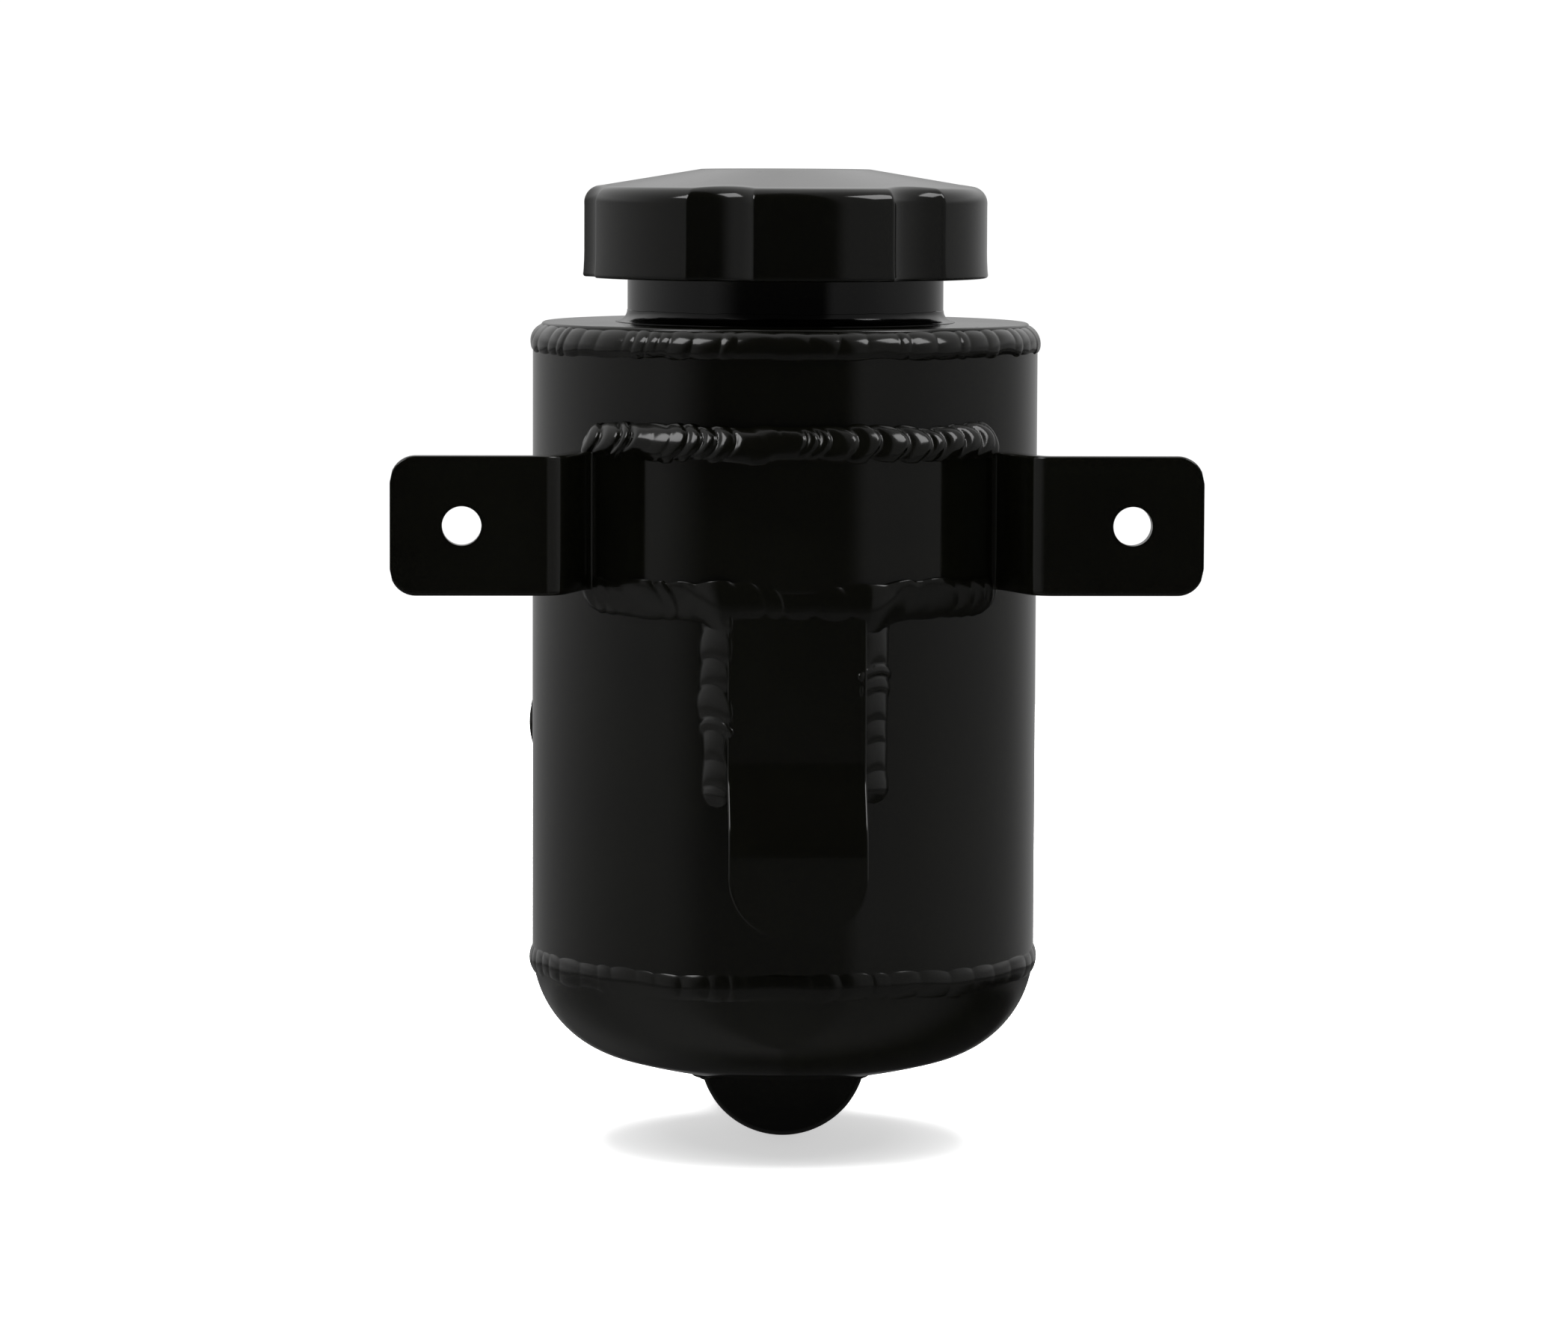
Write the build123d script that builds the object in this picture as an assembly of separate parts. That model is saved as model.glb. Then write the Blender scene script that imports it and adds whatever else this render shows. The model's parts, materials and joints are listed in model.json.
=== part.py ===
from build123d import *
import math
import os

# Hydraulic reservoir: a welded aluminium tank with a lobed screw cap, hung on a
# wall by a hat-shaped strap and a hook tab.  Millimetres, +Z up.
# The origin is the middle of the two bolt holes, on the ears' wall side.  The
# wall is on -Y.  Each piece is drawn round the tank's own axis, and save()
# carries it out to where that axis stands.

INCH = 25.4

# ---- tank ----
body_radius = 3.75 * INCH / 2
wall = 0.125 * INCH
inner_radius = body_radius - wall
wall_to_axis = 51.5               # from the bolted face to the tank's axis
seam_z = -83.4                    # where tube and bottom head meet
plate_top = 35.4
plate_thickness = wall
plate_radius = body_radius - 0.5 * wall
tube_top = plate_top - plate_thickness
knuckle_radius = 20.8
crown_radius = 1.25 * 2 * body_radius
weld_prep = 1.2                   # bevel for a butt weld
bead_height = 2.3                 # half the width of the seam beads
bead_proud = 0.5                  # how far a seam bead stands out of the wall
top_bead_over = 0.2               # how far the lid's bead laps onto the lid
top_bead_under = 1.0              # and down onto the tube
bottom_bead_drop = 0.4            # middle of the lower seam bead, below the joint
bottom_bead_root = 0.9            # its depth inside the wall

# ---- filler neck and its three-start thread ----
neck_radius = 29.8
neck_core = 28.4
neck_bore = 25.4
neck_shoulder = 44.6              # plain below, threaded above
neck_top = 55.6
neck_edge = 0.5                   # chamfer round the sealing rim
neck_weld_reach = 2.0             # along the lid
neck_weld_rise = 2.4              # up the neck
neck_weld_middle = 0.85           # how far its middle stands off both
thread_lead = 12.0
thread_starts = 3
thread_depth = 1.25
thread_root = 2.3                 # width of a ridge at its foot
thread_crest = 1.1
thread_sunk = 0.3                 # how far a ridge reaches into its cylinder
thread_rise = 3.2                 # from the shoulder to the middle of the lowest ridge
ridge_rise = 5.4                  # how far one ridge climbs
thread_slack = 0.05               # how much nearer the cap hangs to the neck's ridges

# ---- cap ----
cap_radius = 38.0
cap_bottom = 43.8
cap_top = 64.1
cap_flat_radius = 16.0
cap_cone_drop = 3.1
cap_cone_radius = 34.7
cap_corner = 3.4
cap_notches = 6
cap_notch_depth = 2.1
cap_notch_radius = 14.0
cap_notch_edge = 0.7
cap_first_notch = -21.5           # degrees from the wall side towards +X
cap_wall = 2.4
insert_radius = 33.2
insert_bore = neck_radius + 0.15
insert_bottom = 45.0
insert_roof = 2.2
insert_lead_in = 0.5              # chamfer at the insert's mouth

# ---- seal pack, which doesn't turn with the cap ----
gasket_bore = 24.6
gasket_radius = 28.2
gasket_thickness = 1.8
disc_radius = 28.6
disc_thickness = 1.2
disc_gap = 0.15                   # running gap, disc to insert
rivet_radius = 6.0
rivet_head = 8.6
rivet_head_thickness = 1.2
vent_radius = 1.5                 # air hole down the middle of the rivet
rivet_play = 0.08                 # the disc turns freely on the rivet

# ---- mounting strap ----
strap_height = INCH
strap_thickness = 0.125 * INCH
strap_wrap = 44.0                 # degrees of the body it follows, each side
crease_radius = 2.8
leg_slope = 19.0                  # degrees off square to the wall
ear_bend_radius = 3.6
ear_tip = 73.95
ear_corner = 4.7
bolt_spacing = 121.9
bolt_hole_radius = 9 / 32 * INCH / 2
crease_out = 5.2                  # straight run between body and crease
strap_bead_height = 5.2
strap_bead_depth = 3.0
strap_bead_short = 1.5            # degrees by which a bead stops short of the wrap
bead_bite = 0.2                   # how far a bead's section is drawn into the body

# ---- hook tab ----
tab_width = INCH
tab_top = -18.1
tab_bottom = -74.6
tab_bend_top = -46.0
tab_bend_bottom = -57.0
tab_bend_radius = 8.0
tab_offset = 8.0                  # room between tongue and body
tab_corner = 11.0
tab_bead_top = -18.6
tab_bead_bottom = -51.0
tab_bead_radius = 3.0
tab_bead_out = 0.4                # the bead's middle, outside the tab's edge
tab_bead_off = 0.6                # and off the round body
tab_gap = 0.1                     # the flat tab touches the round body only by its welds

# ---- ports ----
inlet_z = -43.4
inlet_clock = 45.0                # degrees from -X towards +Y
inlet_radius = 7 / 8 * INCH / 2
inlet_proud = 9.4
inlet_inside = 3.0
inlet_bore = 6.5
inlet_bore_depth = 11.0
outlet_z = -103.4
outlet_radius = 1.25 * INCH / 2
outlet_back = -3.0
outlet_front = 50.8
outlet_bore = 10.35
outlet_bore_depth = 20.0
outlet_drill = 8.0
outlet_drill_end = 4.0
feed_radius = 7.0
feed_y = 16.0
port_seat = 1.4                   # widening of a port's sealing seat
inlet_edge = 0.6
outlet_edge = 0.7
fillet_bead = 2.2

# ---- inside ----
return_radius = 5.5
return_bore = 4.1
return_length = 20.0
return_short = 1.0                # how far the tube stops short of the port's thread
baffle_z = -66.0
baffle_thickness = 1.6
baffle_holes = 8
baffle_hole_radius = 4.0
baffle_hole_circle = 27.0
baffle_middle_radius = 6.0
baffle_slots = 4
tack_size = 3.0
tack_angle = 8.0

os.makedirs("parts", exist_ok=True)


def save(name, shape):
    """Write one piece to its own file, moved from the tank's axis to its place."""
    export_step(Pos(0, wall_to_axis, 0) * shape, f"parts/{name}.step")


def turned(*lines):
    """Spin a closed outline, drawn as radius and height, once round the axis."""
    return revolve(Plane.XZ * make_face(lines), Axis.Z)


def turned_points(*points):
    """Spin a closed outline of straight sides, given as (radius, height) corners."""
    return turned(Polyline(*points, close=True))


def disc(radius, low, high):
    """A round plug on the axis, between two heights."""
    return Pos(0, 0, low) * extrude(Circle(radius), high - low)


def bar(radius, start, end):
    """A round bar between two points."""
    path = Vector(*end) - Vector(*start)
    return extrude(Plane(origin=start, z_dir=path) * Circle(radius), path.length)


def crown_tip():
    """Half the angle round the bottom head where the knuckle gives way to the crown."""
    return math.acos((body_radius - knuckle_radius) / (crown_radius - knuckle_radius))


def head_arcs(inset):
    """The bottom head's section: a knuckle arc and a crown arc, inset by so much."""
    turn = math.degrees(crown_tip())
    knuckle_centre = (body_radius - knuckle_radius, seam_z)
    lift = (crown_radius - knuckle_radius) * math.sin(crown_tip())
    crown_centre = (0, seam_z + lift)
    knuckle = CenterArc(knuckle_centre, knuckle_radius - inset, 0, -turn)
    crown = CenterArc(crown_centre, crown_radius - inset, -turn, -(90 - turn))
    return knuckle, crown


def head_body(inset, rise=0.0):
    """The bottom head as a solid lump, inset from its outside and carried up a little."""
    knuckle, crown = head_arcs(inset)
    rim = knuckle @ 0
    corners = [crown @ 1, (0, seam_z + rise), (rim.X, seam_z + rise)]
    if rise:
        corners.append(rim)
    return turned(knuckle, crown, Polyline(*corners))


def ridge(radius, outward):
    """One helical thread ridge on a cylinder, with its foot sunk slightly into it."""
    side = 1 if outward else -1
    path = Helix(thread_lead, ridge_rise, radius)
    foot = thread_root / 2
    tip = thread_crest / 2
    outline = Polyline(
        (-side * thread_sunk, -foot), (side * 0.02, -foot), (side * thread_depth, -tip),
        (side * thread_depth, tip), (side * 0.02, foot), (-side * thread_sunk, foot), close=True)
    start = path @ 0
    section = Plane(origin=start, x_dir=(1, 0, 0), z_dir=(0, -1, 0)) * make_face(outline)
    return sweep(section, path=path, is_frenet=True)


def thread(radius, outward, low, turn=0.0):
    """Every start of the thread, spread evenly round the axis."""
    first = ridge(radius, outward)
    step = 360 / thread_starts
    return [Pos(0, 0, low) * Rot(0, 0, turn + i * step) * first for i in range(thread_starts)]


# ---------------------------------------------------------------- tank shell

def make_body_tube():
    """Rolled tube, bevelled at the bottom for its seam weld, with the inlet's hole."""
    tube = turned_points(
        (inner_radius, seam_z), (body_radius - weld_prep, seam_z),
        (body_radius, seam_z + weld_prep), (body_radius, tube_top), (inner_radius, tube_top))
    return tube - inlet_bar(0, 2 * body_radius)


def make_top_plate():
    """Flat lid that sits on the tube's end, with a hole for the filler neck."""
    return disc(plate_radius, tube_top, plate_top) - disc(neck_radius, tube_top, plate_top)


def make_bottom_dome():
    """Dished bottom head of even thickness, bevelled at its rim."""
    shell = head_body(0) - head_body(wall, 1.0)
    bevel = turned_points(
        (body_radius - weld_prep, seam_z), (body_radius + 1, seam_z),
        (body_radius + 1, seam_z - weld_prep - 1))
    return shell - bevel - outlet_bar(0)


def seam_bead(height, radius, half_width, half_depth):
    """A round of weld with an oval section, centred on a radius and a height."""
    section = Plane.XZ * Pos(radius, height) * Ellipse(half_depth, half_width)
    return revolve(section, Axis.Z)


def make_top_seam_weld(tube, plate):
    """Bead in the step between the tube's end and the lid's edge."""
    depth = body_radius + bead_proud - plate_radius
    middle = (plate_top + top_bead_over + tube_top - top_bead_under) / 2
    bead = seam_bead(middle, plate_radius, plate_top + top_bead_over - middle, depth)
    return bead - tube - plate - disc(plate_radius, tube_top - 9, plate_top)


def make_bottom_seam_weld(tube, dome):
    """Bead that fills the bevels between tube and bottom head."""
    bead = seam_bead(seam_z - bottom_bead_drop, body_radius - bottom_bead_root, bead_height,
                     bottom_bead_root + bead_proud)
    groove = disc(body_radius - weld_prep, seam_z - 9, seam_z + 9)
    return bead - tube - dome - groove


# ---------------------------------------------------------------- filler neck

def make_filler_neck():
    """Machined neck: plain foot through the lid, thread above, square sealing rim."""
    blank = turned_points(
        (neck_bore, tube_top), (neck_radius, tube_top), (neck_radius, neck_shoulder - neck_edge),
        (neck_core, neck_shoulder), (neck_core, neck_top - neck_edge),
        (neck_core - neck_edge, neck_top), (neck_bore + neck_edge, neck_top),
        (neck_bore, neck_top - neck_edge))
    for start in thread(neck_core, True, neck_shoulder + thread_rise):
        blank = blank + start
    return blank


def make_neck_weld():
    """Small fillet of weld round the neck's foot."""
    return turned_points(
        (neck_radius, plate_top), (neck_radius + neck_weld_reach, plate_top),
        (neck_radius + neck_weld_middle, plate_top + neck_weld_middle),
        (neck_radius, plate_top + neck_weld_rise))


# ---------------------------------------------------------------- cap

def cap_profile():
    """The cap's outside, as a turned lump: flat top, shallow cone, rounded corner."""
    shoulder = cap_top - cap_cone_drop
    lump = turned_points(
        (0, cap_bottom), (cap_radius, cap_bottom), (cap_radius, shoulder - 0.6),
        (cap_flat_radius, cap_top), (0, cap_top))
    corner = lump.edges().filter_by(GeomType.CIRCLE).group_by(SortBy.RADIUS)[-1]
    return fillet(corner.sort_by(Axis.Z)[-1], cap_corner)


def notch_cutters():
    """Upright round cutters for the finger notches."""
    reach = cap_radius - cap_notch_depth + cap_notch_radius
    cutters = []
    for i in range(cap_notches):
        turn = cap_first_notch - 90 + i * 360 / cap_notches
        cutters.append(Rot(0, 0, turn) * Pos(reach, 0, cap_bottom - 1)
                       * extrude(Circle(cap_notch_radius), 40))
    return cutters


def make_cap_shell():
    """Lobed grip shell, hollow below, with a central hole for the rivet."""
    shell = cap_profile() - notch_cutters()
    crisp = shell.edges().filter_by(Axis.Z)
    shell = fillet(crisp, cap_notch_edge)
    roof = insert_roof_top()
    hollow = disc(insert_radius, cap_bottom - 1, roof)
    return shell - hollow


def insert_roof_bottom():
    """Underside of the insert's roof, one running gap above the disc."""
    return neck_top + gasket_thickness + disc_thickness + disc_gap


def insert_roof_top():
    """Top of the insert's roof, which the shell bears on."""
    return insert_roof_bottom() + insert_roof


def make_cap_insert():
    """Threaded cup pressed into the shell; its ridges run under the neck's."""
    cup = turned_points(
        (insert_bore, insert_bottom + insert_lead_in),
        (insert_bore + insert_lead_in, insert_bottom),
        (insert_radius, insert_bottom), (insert_radius, insert_roof_top()),
        (rivet_radius, insert_roof_top()), (rivet_radius, insert_roof_bottom()),
        (insert_bore, insert_roof_bottom()))
    lag = thread_lead / thread_starts / 2 - thread_slack
    for start in thread(insert_bore, False, neck_shoulder + thread_rise - lag):
        cup = cup + start
    return cup


def make_cap_rivet():
    """Rivet that holds the disc loosely to the insert, with the air hole down it."""
    under = neck_top + gasket_thickness - disc_gap
    low = under - rivet_head_thickness
    top = insert_roof_top()
    return turned_points(
        (vent_radius, low), (rivet_head, low), (rivet_head, under),
        (rivet_radius, under), (rivet_radius, top), (vent_radius, top))


# ---------------------------------------------------------------- seal pack

def make_cap_gasket():
    """Flat rubber ring between the disc and the neck's rim."""
    ring = disc(gasket_radius, neck_top, neck_top + gasket_thickness)
    return ring - disc(gasket_bore, neck_top, neck_top + gasket_thickness)


def make_swivel_disc():
    """Pressed disc that stays still on the gasket while the cap turns above it."""
    low = neck_top + gasket_thickness
    plate = disc(disc_radius, low, low + disc_thickness)
    return plate - disc(rivet_radius + rivet_play, low, low + disc_thickness)


# ---------------------------------------------------------------- mounting strap

def strap_path(side):
    """Middle line of half the strap, seen from above: body, crease, leg, ear."""
    middle = body_radius + strap_thickness / 2
    wrap = math.radians(strap_wrap)
    sin, cos = math.sin(wrap), math.cos(wrap)
    ear_y = -wall_to_axis + strap_thickness / 2
    leave = (middle * sin, -middle * cos)
    crease = (leave[0] + crease_out * cos, leave[1] + crease_out * sin)
    bend_x = crease[0] + (crease[1] - ear_y) * math.tan(math.radians(leg_slope))
    corners = [leave, crease, (bend_x, ear_y), (ear_tip, ear_y)]
    mirrored = [(side * x, y) for x, y in corners]
    return FilletPolyline(*mirrored, radius=[crease_radius, ear_bend_radius])


def make_bracket_strap():
    """One flat bar bent round the back of the tank, with a drilled ear at each end."""
    middle = body_radius + strap_thickness / 2
    around = CenterArc((0, 0), middle, -90 - strap_wrap, 2 * strap_wrap)
    outline = trace([around], strap_thickness)
    for side in (-1, 1):
        outline = outline + trace(strap_path(side).edges(), strap_thickness)
    strap = Pos(0, 0, -strap_height / 2) * extrude(outline, strap_height)
    tips = strap.edges().filter_by(Axis.Y).filter_by(lambda e: abs(e.center().X) > ear_tip - 0.1)
    strap = fillet(tips, ear_corner)
    for side in (-1, 1):
        x = side * bolt_spacing / 2
        strap = strap - bar(bolt_hole_radius, (x, -wall_to_axis - 5, 0), (x, -wall_to_axis + 9, 0))
    return strap


def make_strap_weld(up, body, strap):
    """Fillet of weld along one long edge of the strap, up is 1 above and -1 below."""
    edge = up * strap_height / 2
    half = 2 * (strap_wrap - strap_bead_short)
    section = Plane.XZ * make_face(Polyline(
        (body_radius - bead_bite, edge), (body_radius + strap_bead_depth, edge),
        (body_radius + 0.66 * strap_bead_depth, edge + up * 0.55 * strap_bead_height),
        (body_radius + 0.35, edge + up * strap_bead_height),
        (body_radius - bead_bite, edge + up * strap_bead_height), close=True))
    bead = Rot(0, 0, -90 - half / 2) * revolve(section, Axis.Z, revolution_arc=half)
    return bead - body - strap


# ---------------------------------------------------------------- hook tab

def make_hook_tab():
    """Flat bar welded down the body, then set off from it, with a rounded end."""
    near = -(body_radius + tab_gap + strap_thickness / 2)
    far = -(body_radius + tab_offset + strap_thickness / 2)
    corners = [(near, tab_top), (near, tab_bend_top), (far, tab_bend_bottom), (far, tab_bottom)]
    path = FilletPolyline(*corners, radius=tab_bend_radius)
    outline = trace(path.edges(), strap_thickness)
    tab = Pos(-tab_width / 2, 0, 0) * extrude(Plane.YZ * outline, tab_width)
    end = tab.edges().filter_by(Axis.Y).group_by(Axis.Z)[0]
    return fillet(end, tab_corner)


def make_tab_weld(side, body, tab):
    """Bead down one long edge of the tab, filling the gap that the round body leaves."""
    x = side * (tab_width / 2 + tab_bead_out)
    y = -math.sqrt(body_radius ** 2 - x ** 2) - tab_bead_off
    bead = bar(tab_bead_radius, (x, y, tab_bead_bottom), (x, y, tab_bead_top))
    bead = bead - body - tab
    return max(bead.solids(), key=lambda solid: solid.volume)


# ---------------------------------------------------------------- ports

def inlet_direction():
    """Level direction in which the inlet points."""
    turn = math.radians(inlet_clock)
    return Vector(-math.cos(turn), math.sin(turn), 0)


def inlet_point(distance):
    """A point on the inlet's axis, so far from the tank's axis."""
    aim = inlet_direction()
    return (aim.X * distance, aim.Y * distance, inlet_z)


def inlet_bar(grow, length, start=0.0):
    """A round bar on the inlet's axis."""
    return bar(inlet_radius + grow, inlet_point(start), inlet_point(start + length))


def make_inlet_boss():
    """Round boss through the tank's wall, drilled for an o-ring fitting."""
    inside = inner_radius - inlet_inside
    face = body_radius + inlet_proud
    boss = inlet_bar(0, face - inside, inside)
    boss = chamfer(boss.edges().filter_by(GeomType.CIRCLE), inlet_edge)
    boss = boss - bar(inlet_bore, inlet_point(face - inlet_bore_depth), inlet_point(face + 1))
    boss = boss - bar(return_radius, inlet_point(inside - 1), inlet_point(face - inlet_bore_depth))
    seat = Plane(origin=inlet_point(face), z_dir=-inlet_direction())
    return boss - seat * Cone(inlet_bore + port_seat, inlet_bore, 2 * port_seat,
                              align=(Align.CENTER, Align.CENTER, Align.MIN))


def make_inlet_boss_weld():
    """Fillet of weld where the inlet boss leaves the round wall."""
    sleeve = inlet_bar(fillet_bead, 2 * body_radius)
    skin = disc(body_radius + fillet_bead, inlet_z - 30, inlet_z + 30)
    core = disc(body_radius, inlet_z - 31, inlet_z + 31)
    return (sleeve & skin) - core - inlet_bar(0, 2 * body_radius)


def make_return_tube():
    """Short tube on the inside of the inlet, its end cut on the slant."""
    near = body_radius + inlet_proud - inlet_bore_depth - return_short
    far = inner_radius - inlet_inside - return_length
    tube = bar(return_radius, inlet_point(far), inlet_point(near))
    tube = tube - bar(return_bore, inlet_point(far - 1), inlet_point(near + 1))
    aim = inlet_direction()
    slant = Plane(origin=inlet_point(far), z_dir=Vector(-aim.X, -aim.Y, 0) + Vector(0, 0, -1))
    return tube - slant * Pos(0, 0, 20) * Box(60, 60, 40)


def outlet_bar(grow):
    """The outlet's round bar, lying level below the tank, front to back."""
    return bar(outlet_radius + grow, (0, outlet_back - grow, outlet_z), (0, outlet_front, outlet_z))


def make_outlet_boss():
    """Round bar across the bottom head: a port in its front, fed from the tank above."""
    boss = chamfer(outlet_bar(0).edges().filter_by(GeomType.CIRCLE), outlet_edge)
    boss = boss - bar(outlet_bore, (0, outlet_front - outlet_bore_depth, outlet_z),
                      (0, outlet_front + 1, outlet_z))
    boss = boss - bar(outlet_drill, (0, outlet_drill_end, outlet_z), (0, outlet_front, outlet_z))
    boss = boss - bar(feed_radius, (0, feed_y, outlet_z), (0, feed_y, outlet_z + 40))
    seat = Plane(origin=(0, outlet_front, outlet_z), z_dir=(0, -1, 0))
    return boss - seat * Cone(outlet_bore + port_seat, outlet_bore, 2 * port_seat,
                              align=(Align.CENTER, Align.CENTER, Align.MIN))


def make_outlet_boss_weld(seam):
    """Fillet of weld where the outlet's bar leaves the bottom head."""
    around = outlet_bar(fillet_bead) & head_body(-fillet_bead)
    bead = around - head_body(0) - outlet_bar(0) - seam
    return max(bead.solids(), key=lambda solid: solid.volume)


# ---------------------------------------------------------------- baffle

def make_baffle_plate():
    """Perforated plate that calms the oil between inlet and outlet."""
    plate = disc(inner_radius, baffle_z, baffle_z + baffle_thickness)
    plate = plate - disc(baffle_middle_radius, baffle_z, baffle_z + baffle_thickness)
    for i in range(baffle_holes):
        turn = Rot(0, 0, (i + 0.5) * 360 / baffle_holes)
        plate = plate - turn * Pos(baffle_hole_circle, 0, 0) * disc(
            baffle_hole_radius, baffle_z, baffle_z + baffle_thickness)
    for i in range(baffle_slots):
        turn = Rot(0, 0, 45 + i * 360 / baffle_slots)
        plate = plate - turn * Pos(inner_radius, 0, baffle_z + baffle_thickness / 2) * Box(
            7, 16, 2 * baffle_thickness)
    return plate


def make_baffle_tacks():
    """Four short tack welds under the baffle's rim."""
    tacks = []
    section = Plane.XZ * make_face(Polyline(
        (inner_radius, baffle_z), (inner_radius - tack_size, baffle_z),
        (inner_radius, baffle_z - tack_size), close=True))
    for i in range(baffle_slots):
        tack = revolve(section, Axis.Z, revolution_arc=tack_angle)
        tacks.append(Rot(0, 0, i * 360 / baffle_slots - tack_angle / 2) * tack)
    return Compound(tacks)


body_tube = make_body_tube()
top_plate = make_top_plate()
bottom_dome = make_bottom_dome()
bottom_seam = make_bottom_seam_weld(body_tube, bottom_dome)
bracket_strap = make_bracket_strap()
hook_tab = make_hook_tab()
solid_body = disc(body_radius, seam_z - 20, tube_top)

save("body_tube", body_tube)
save("top_plate", top_plate)
save("bottom_dome", bottom_dome)
save("top_seam_weld", make_top_seam_weld(body_tube, top_plate))
save("bottom_seam_weld", bottom_seam)
save("filler_neck", make_filler_neck())
save("neck_weld", make_neck_weld())
save("cap_shell", make_cap_shell())
save("cap_insert", make_cap_insert())
save("cap_rivet", make_cap_rivet())
save("cap_gasket", make_cap_gasket())
save("swivel_disc", make_swivel_disc())
save("bracket_strap", bracket_strap)
save("strap_weld_upper", make_strap_weld(1, solid_body, bracket_strap))
save("strap_weld_lower", make_strap_weld(-1, solid_body, bracket_strap))
save("hook_tab", hook_tab)
save("tab_weld_left", make_tab_weld(-1, solid_body, hook_tab))
save("tab_weld_right", make_tab_weld(1, solid_body, hook_tab))
save("inlet_boss", make_inlet_boss())
save("inlet_boss_weld", make_inlet_boss_weld())
save("return_tube", make_return_tube())
save("outlet_boss", make_outlet_boss())
save("outlet_boss_weld", make_outlet_boss_weld(bottom_seam))
save("baffle_plate", make_baffle_plate())
save("baffle_tacks", make_baffle_tacks())
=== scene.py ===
# %% [markdown]
# # A welded oil reservoir, gloss black
# The object is a small tank for hydraulic oil: a rolled aluminium tube with a flat lid and a
# dished bottom, hung on a wall by a strap and a hook tab, and closed by a lobed screw cap.
# Every part was welded by hand and then powder coated.  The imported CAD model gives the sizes
# and the moving bodies; this script gives each visible piece its finished surface.

# %% Load the frame
import json
import math

import bpy
import numpy as np
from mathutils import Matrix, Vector

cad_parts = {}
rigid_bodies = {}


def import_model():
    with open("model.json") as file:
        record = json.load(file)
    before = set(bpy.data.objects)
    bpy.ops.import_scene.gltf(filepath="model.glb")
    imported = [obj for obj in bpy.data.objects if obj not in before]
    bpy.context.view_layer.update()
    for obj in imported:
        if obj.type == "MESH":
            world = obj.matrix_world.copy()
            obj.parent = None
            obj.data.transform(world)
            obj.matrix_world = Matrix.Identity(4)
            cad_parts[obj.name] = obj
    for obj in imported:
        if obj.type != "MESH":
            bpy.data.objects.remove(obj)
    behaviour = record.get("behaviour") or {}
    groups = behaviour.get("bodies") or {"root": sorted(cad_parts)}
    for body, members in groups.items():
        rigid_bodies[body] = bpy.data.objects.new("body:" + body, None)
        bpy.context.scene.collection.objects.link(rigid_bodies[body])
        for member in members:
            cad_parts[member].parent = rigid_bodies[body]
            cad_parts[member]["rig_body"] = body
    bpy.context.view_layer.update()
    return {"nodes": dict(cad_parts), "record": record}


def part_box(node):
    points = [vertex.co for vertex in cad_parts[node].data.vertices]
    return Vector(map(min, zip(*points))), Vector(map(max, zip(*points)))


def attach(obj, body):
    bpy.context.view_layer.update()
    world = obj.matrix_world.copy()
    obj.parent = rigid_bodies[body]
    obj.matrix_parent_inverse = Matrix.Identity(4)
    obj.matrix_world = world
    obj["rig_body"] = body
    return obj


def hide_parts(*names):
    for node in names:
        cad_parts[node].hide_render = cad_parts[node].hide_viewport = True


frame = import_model()
nodes = frame["nodes"]
scene = bpy.context.scene

# %% [markdown]
# ## Sizes
# All shapes are worked out in millimetres round the tank's own upright axis, because that is
# how a maker reads a drawing, and they are carried to metres and to their place at the end.
# The main sizes come from the CAD nodes' boxes.


# %% Sizes from the frame
def box_mm(node):
    """Lowest and highest corner of a CAD node, in millimetres."""
    low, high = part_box(node)
    return np.array(low) * 1000, np.array(high) * 1000


MOUNTS = {mount["name"]: mount for mount in frame["record"]["mounts"]}
neck_low, neck_high = box_mm("filler_neck")
AXIS = np.array([(neck_low[0] + neck_high[0]) / 2, (neck_low[1] + neck_high[1]) / 2, 0.0])
NECK_R = (neck_high[0] - neck_low[0]) / 2
NECK_TOP = neck_high[2]
tube_low, tube_high = box_mm("body_tube")
BODY_R = (tube_high[0] - tube_low[0]) / 2
SEAM_Z = tube_low[2]
TUBE_TOP = tube_high[2]
PLATE_TOP = box_mm("top_plate")[1][2]
WALL = 3.175  # tube, lid, head and strap are all eighth-inch stock
cap_low, cap_high = box_mm("cap_shell")
CAP_R = (cap_high[1] - cap_low[1]) / 2
strap_low, strap_high = box_mm("bracket_strap")
tab_low, tab_high = box_mm("hook_tab")
outlet_low, outlet_high = box_mm("outlet_boss")
OUTLET_R = (outlet_high[0] - outlet_low[0]) / 2
OUTLET_Z = (outlet_low[2] + outlet_high[2]) / 2
print("tank radius", round(BODY_R, 2), "axis", AXIS.round(2), "cap radius", round(CAP_R, 2))

# %% [markdown]
# ## From arrays to meshes
# A surface is a grid of points: one direction goes round or along it, the other across it.
# The helper below joins the grid into faces, closes it where it wraps, melts points that fall
# together at a pole, and turns the faces outwards by the sign of the volume they enclose.


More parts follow.
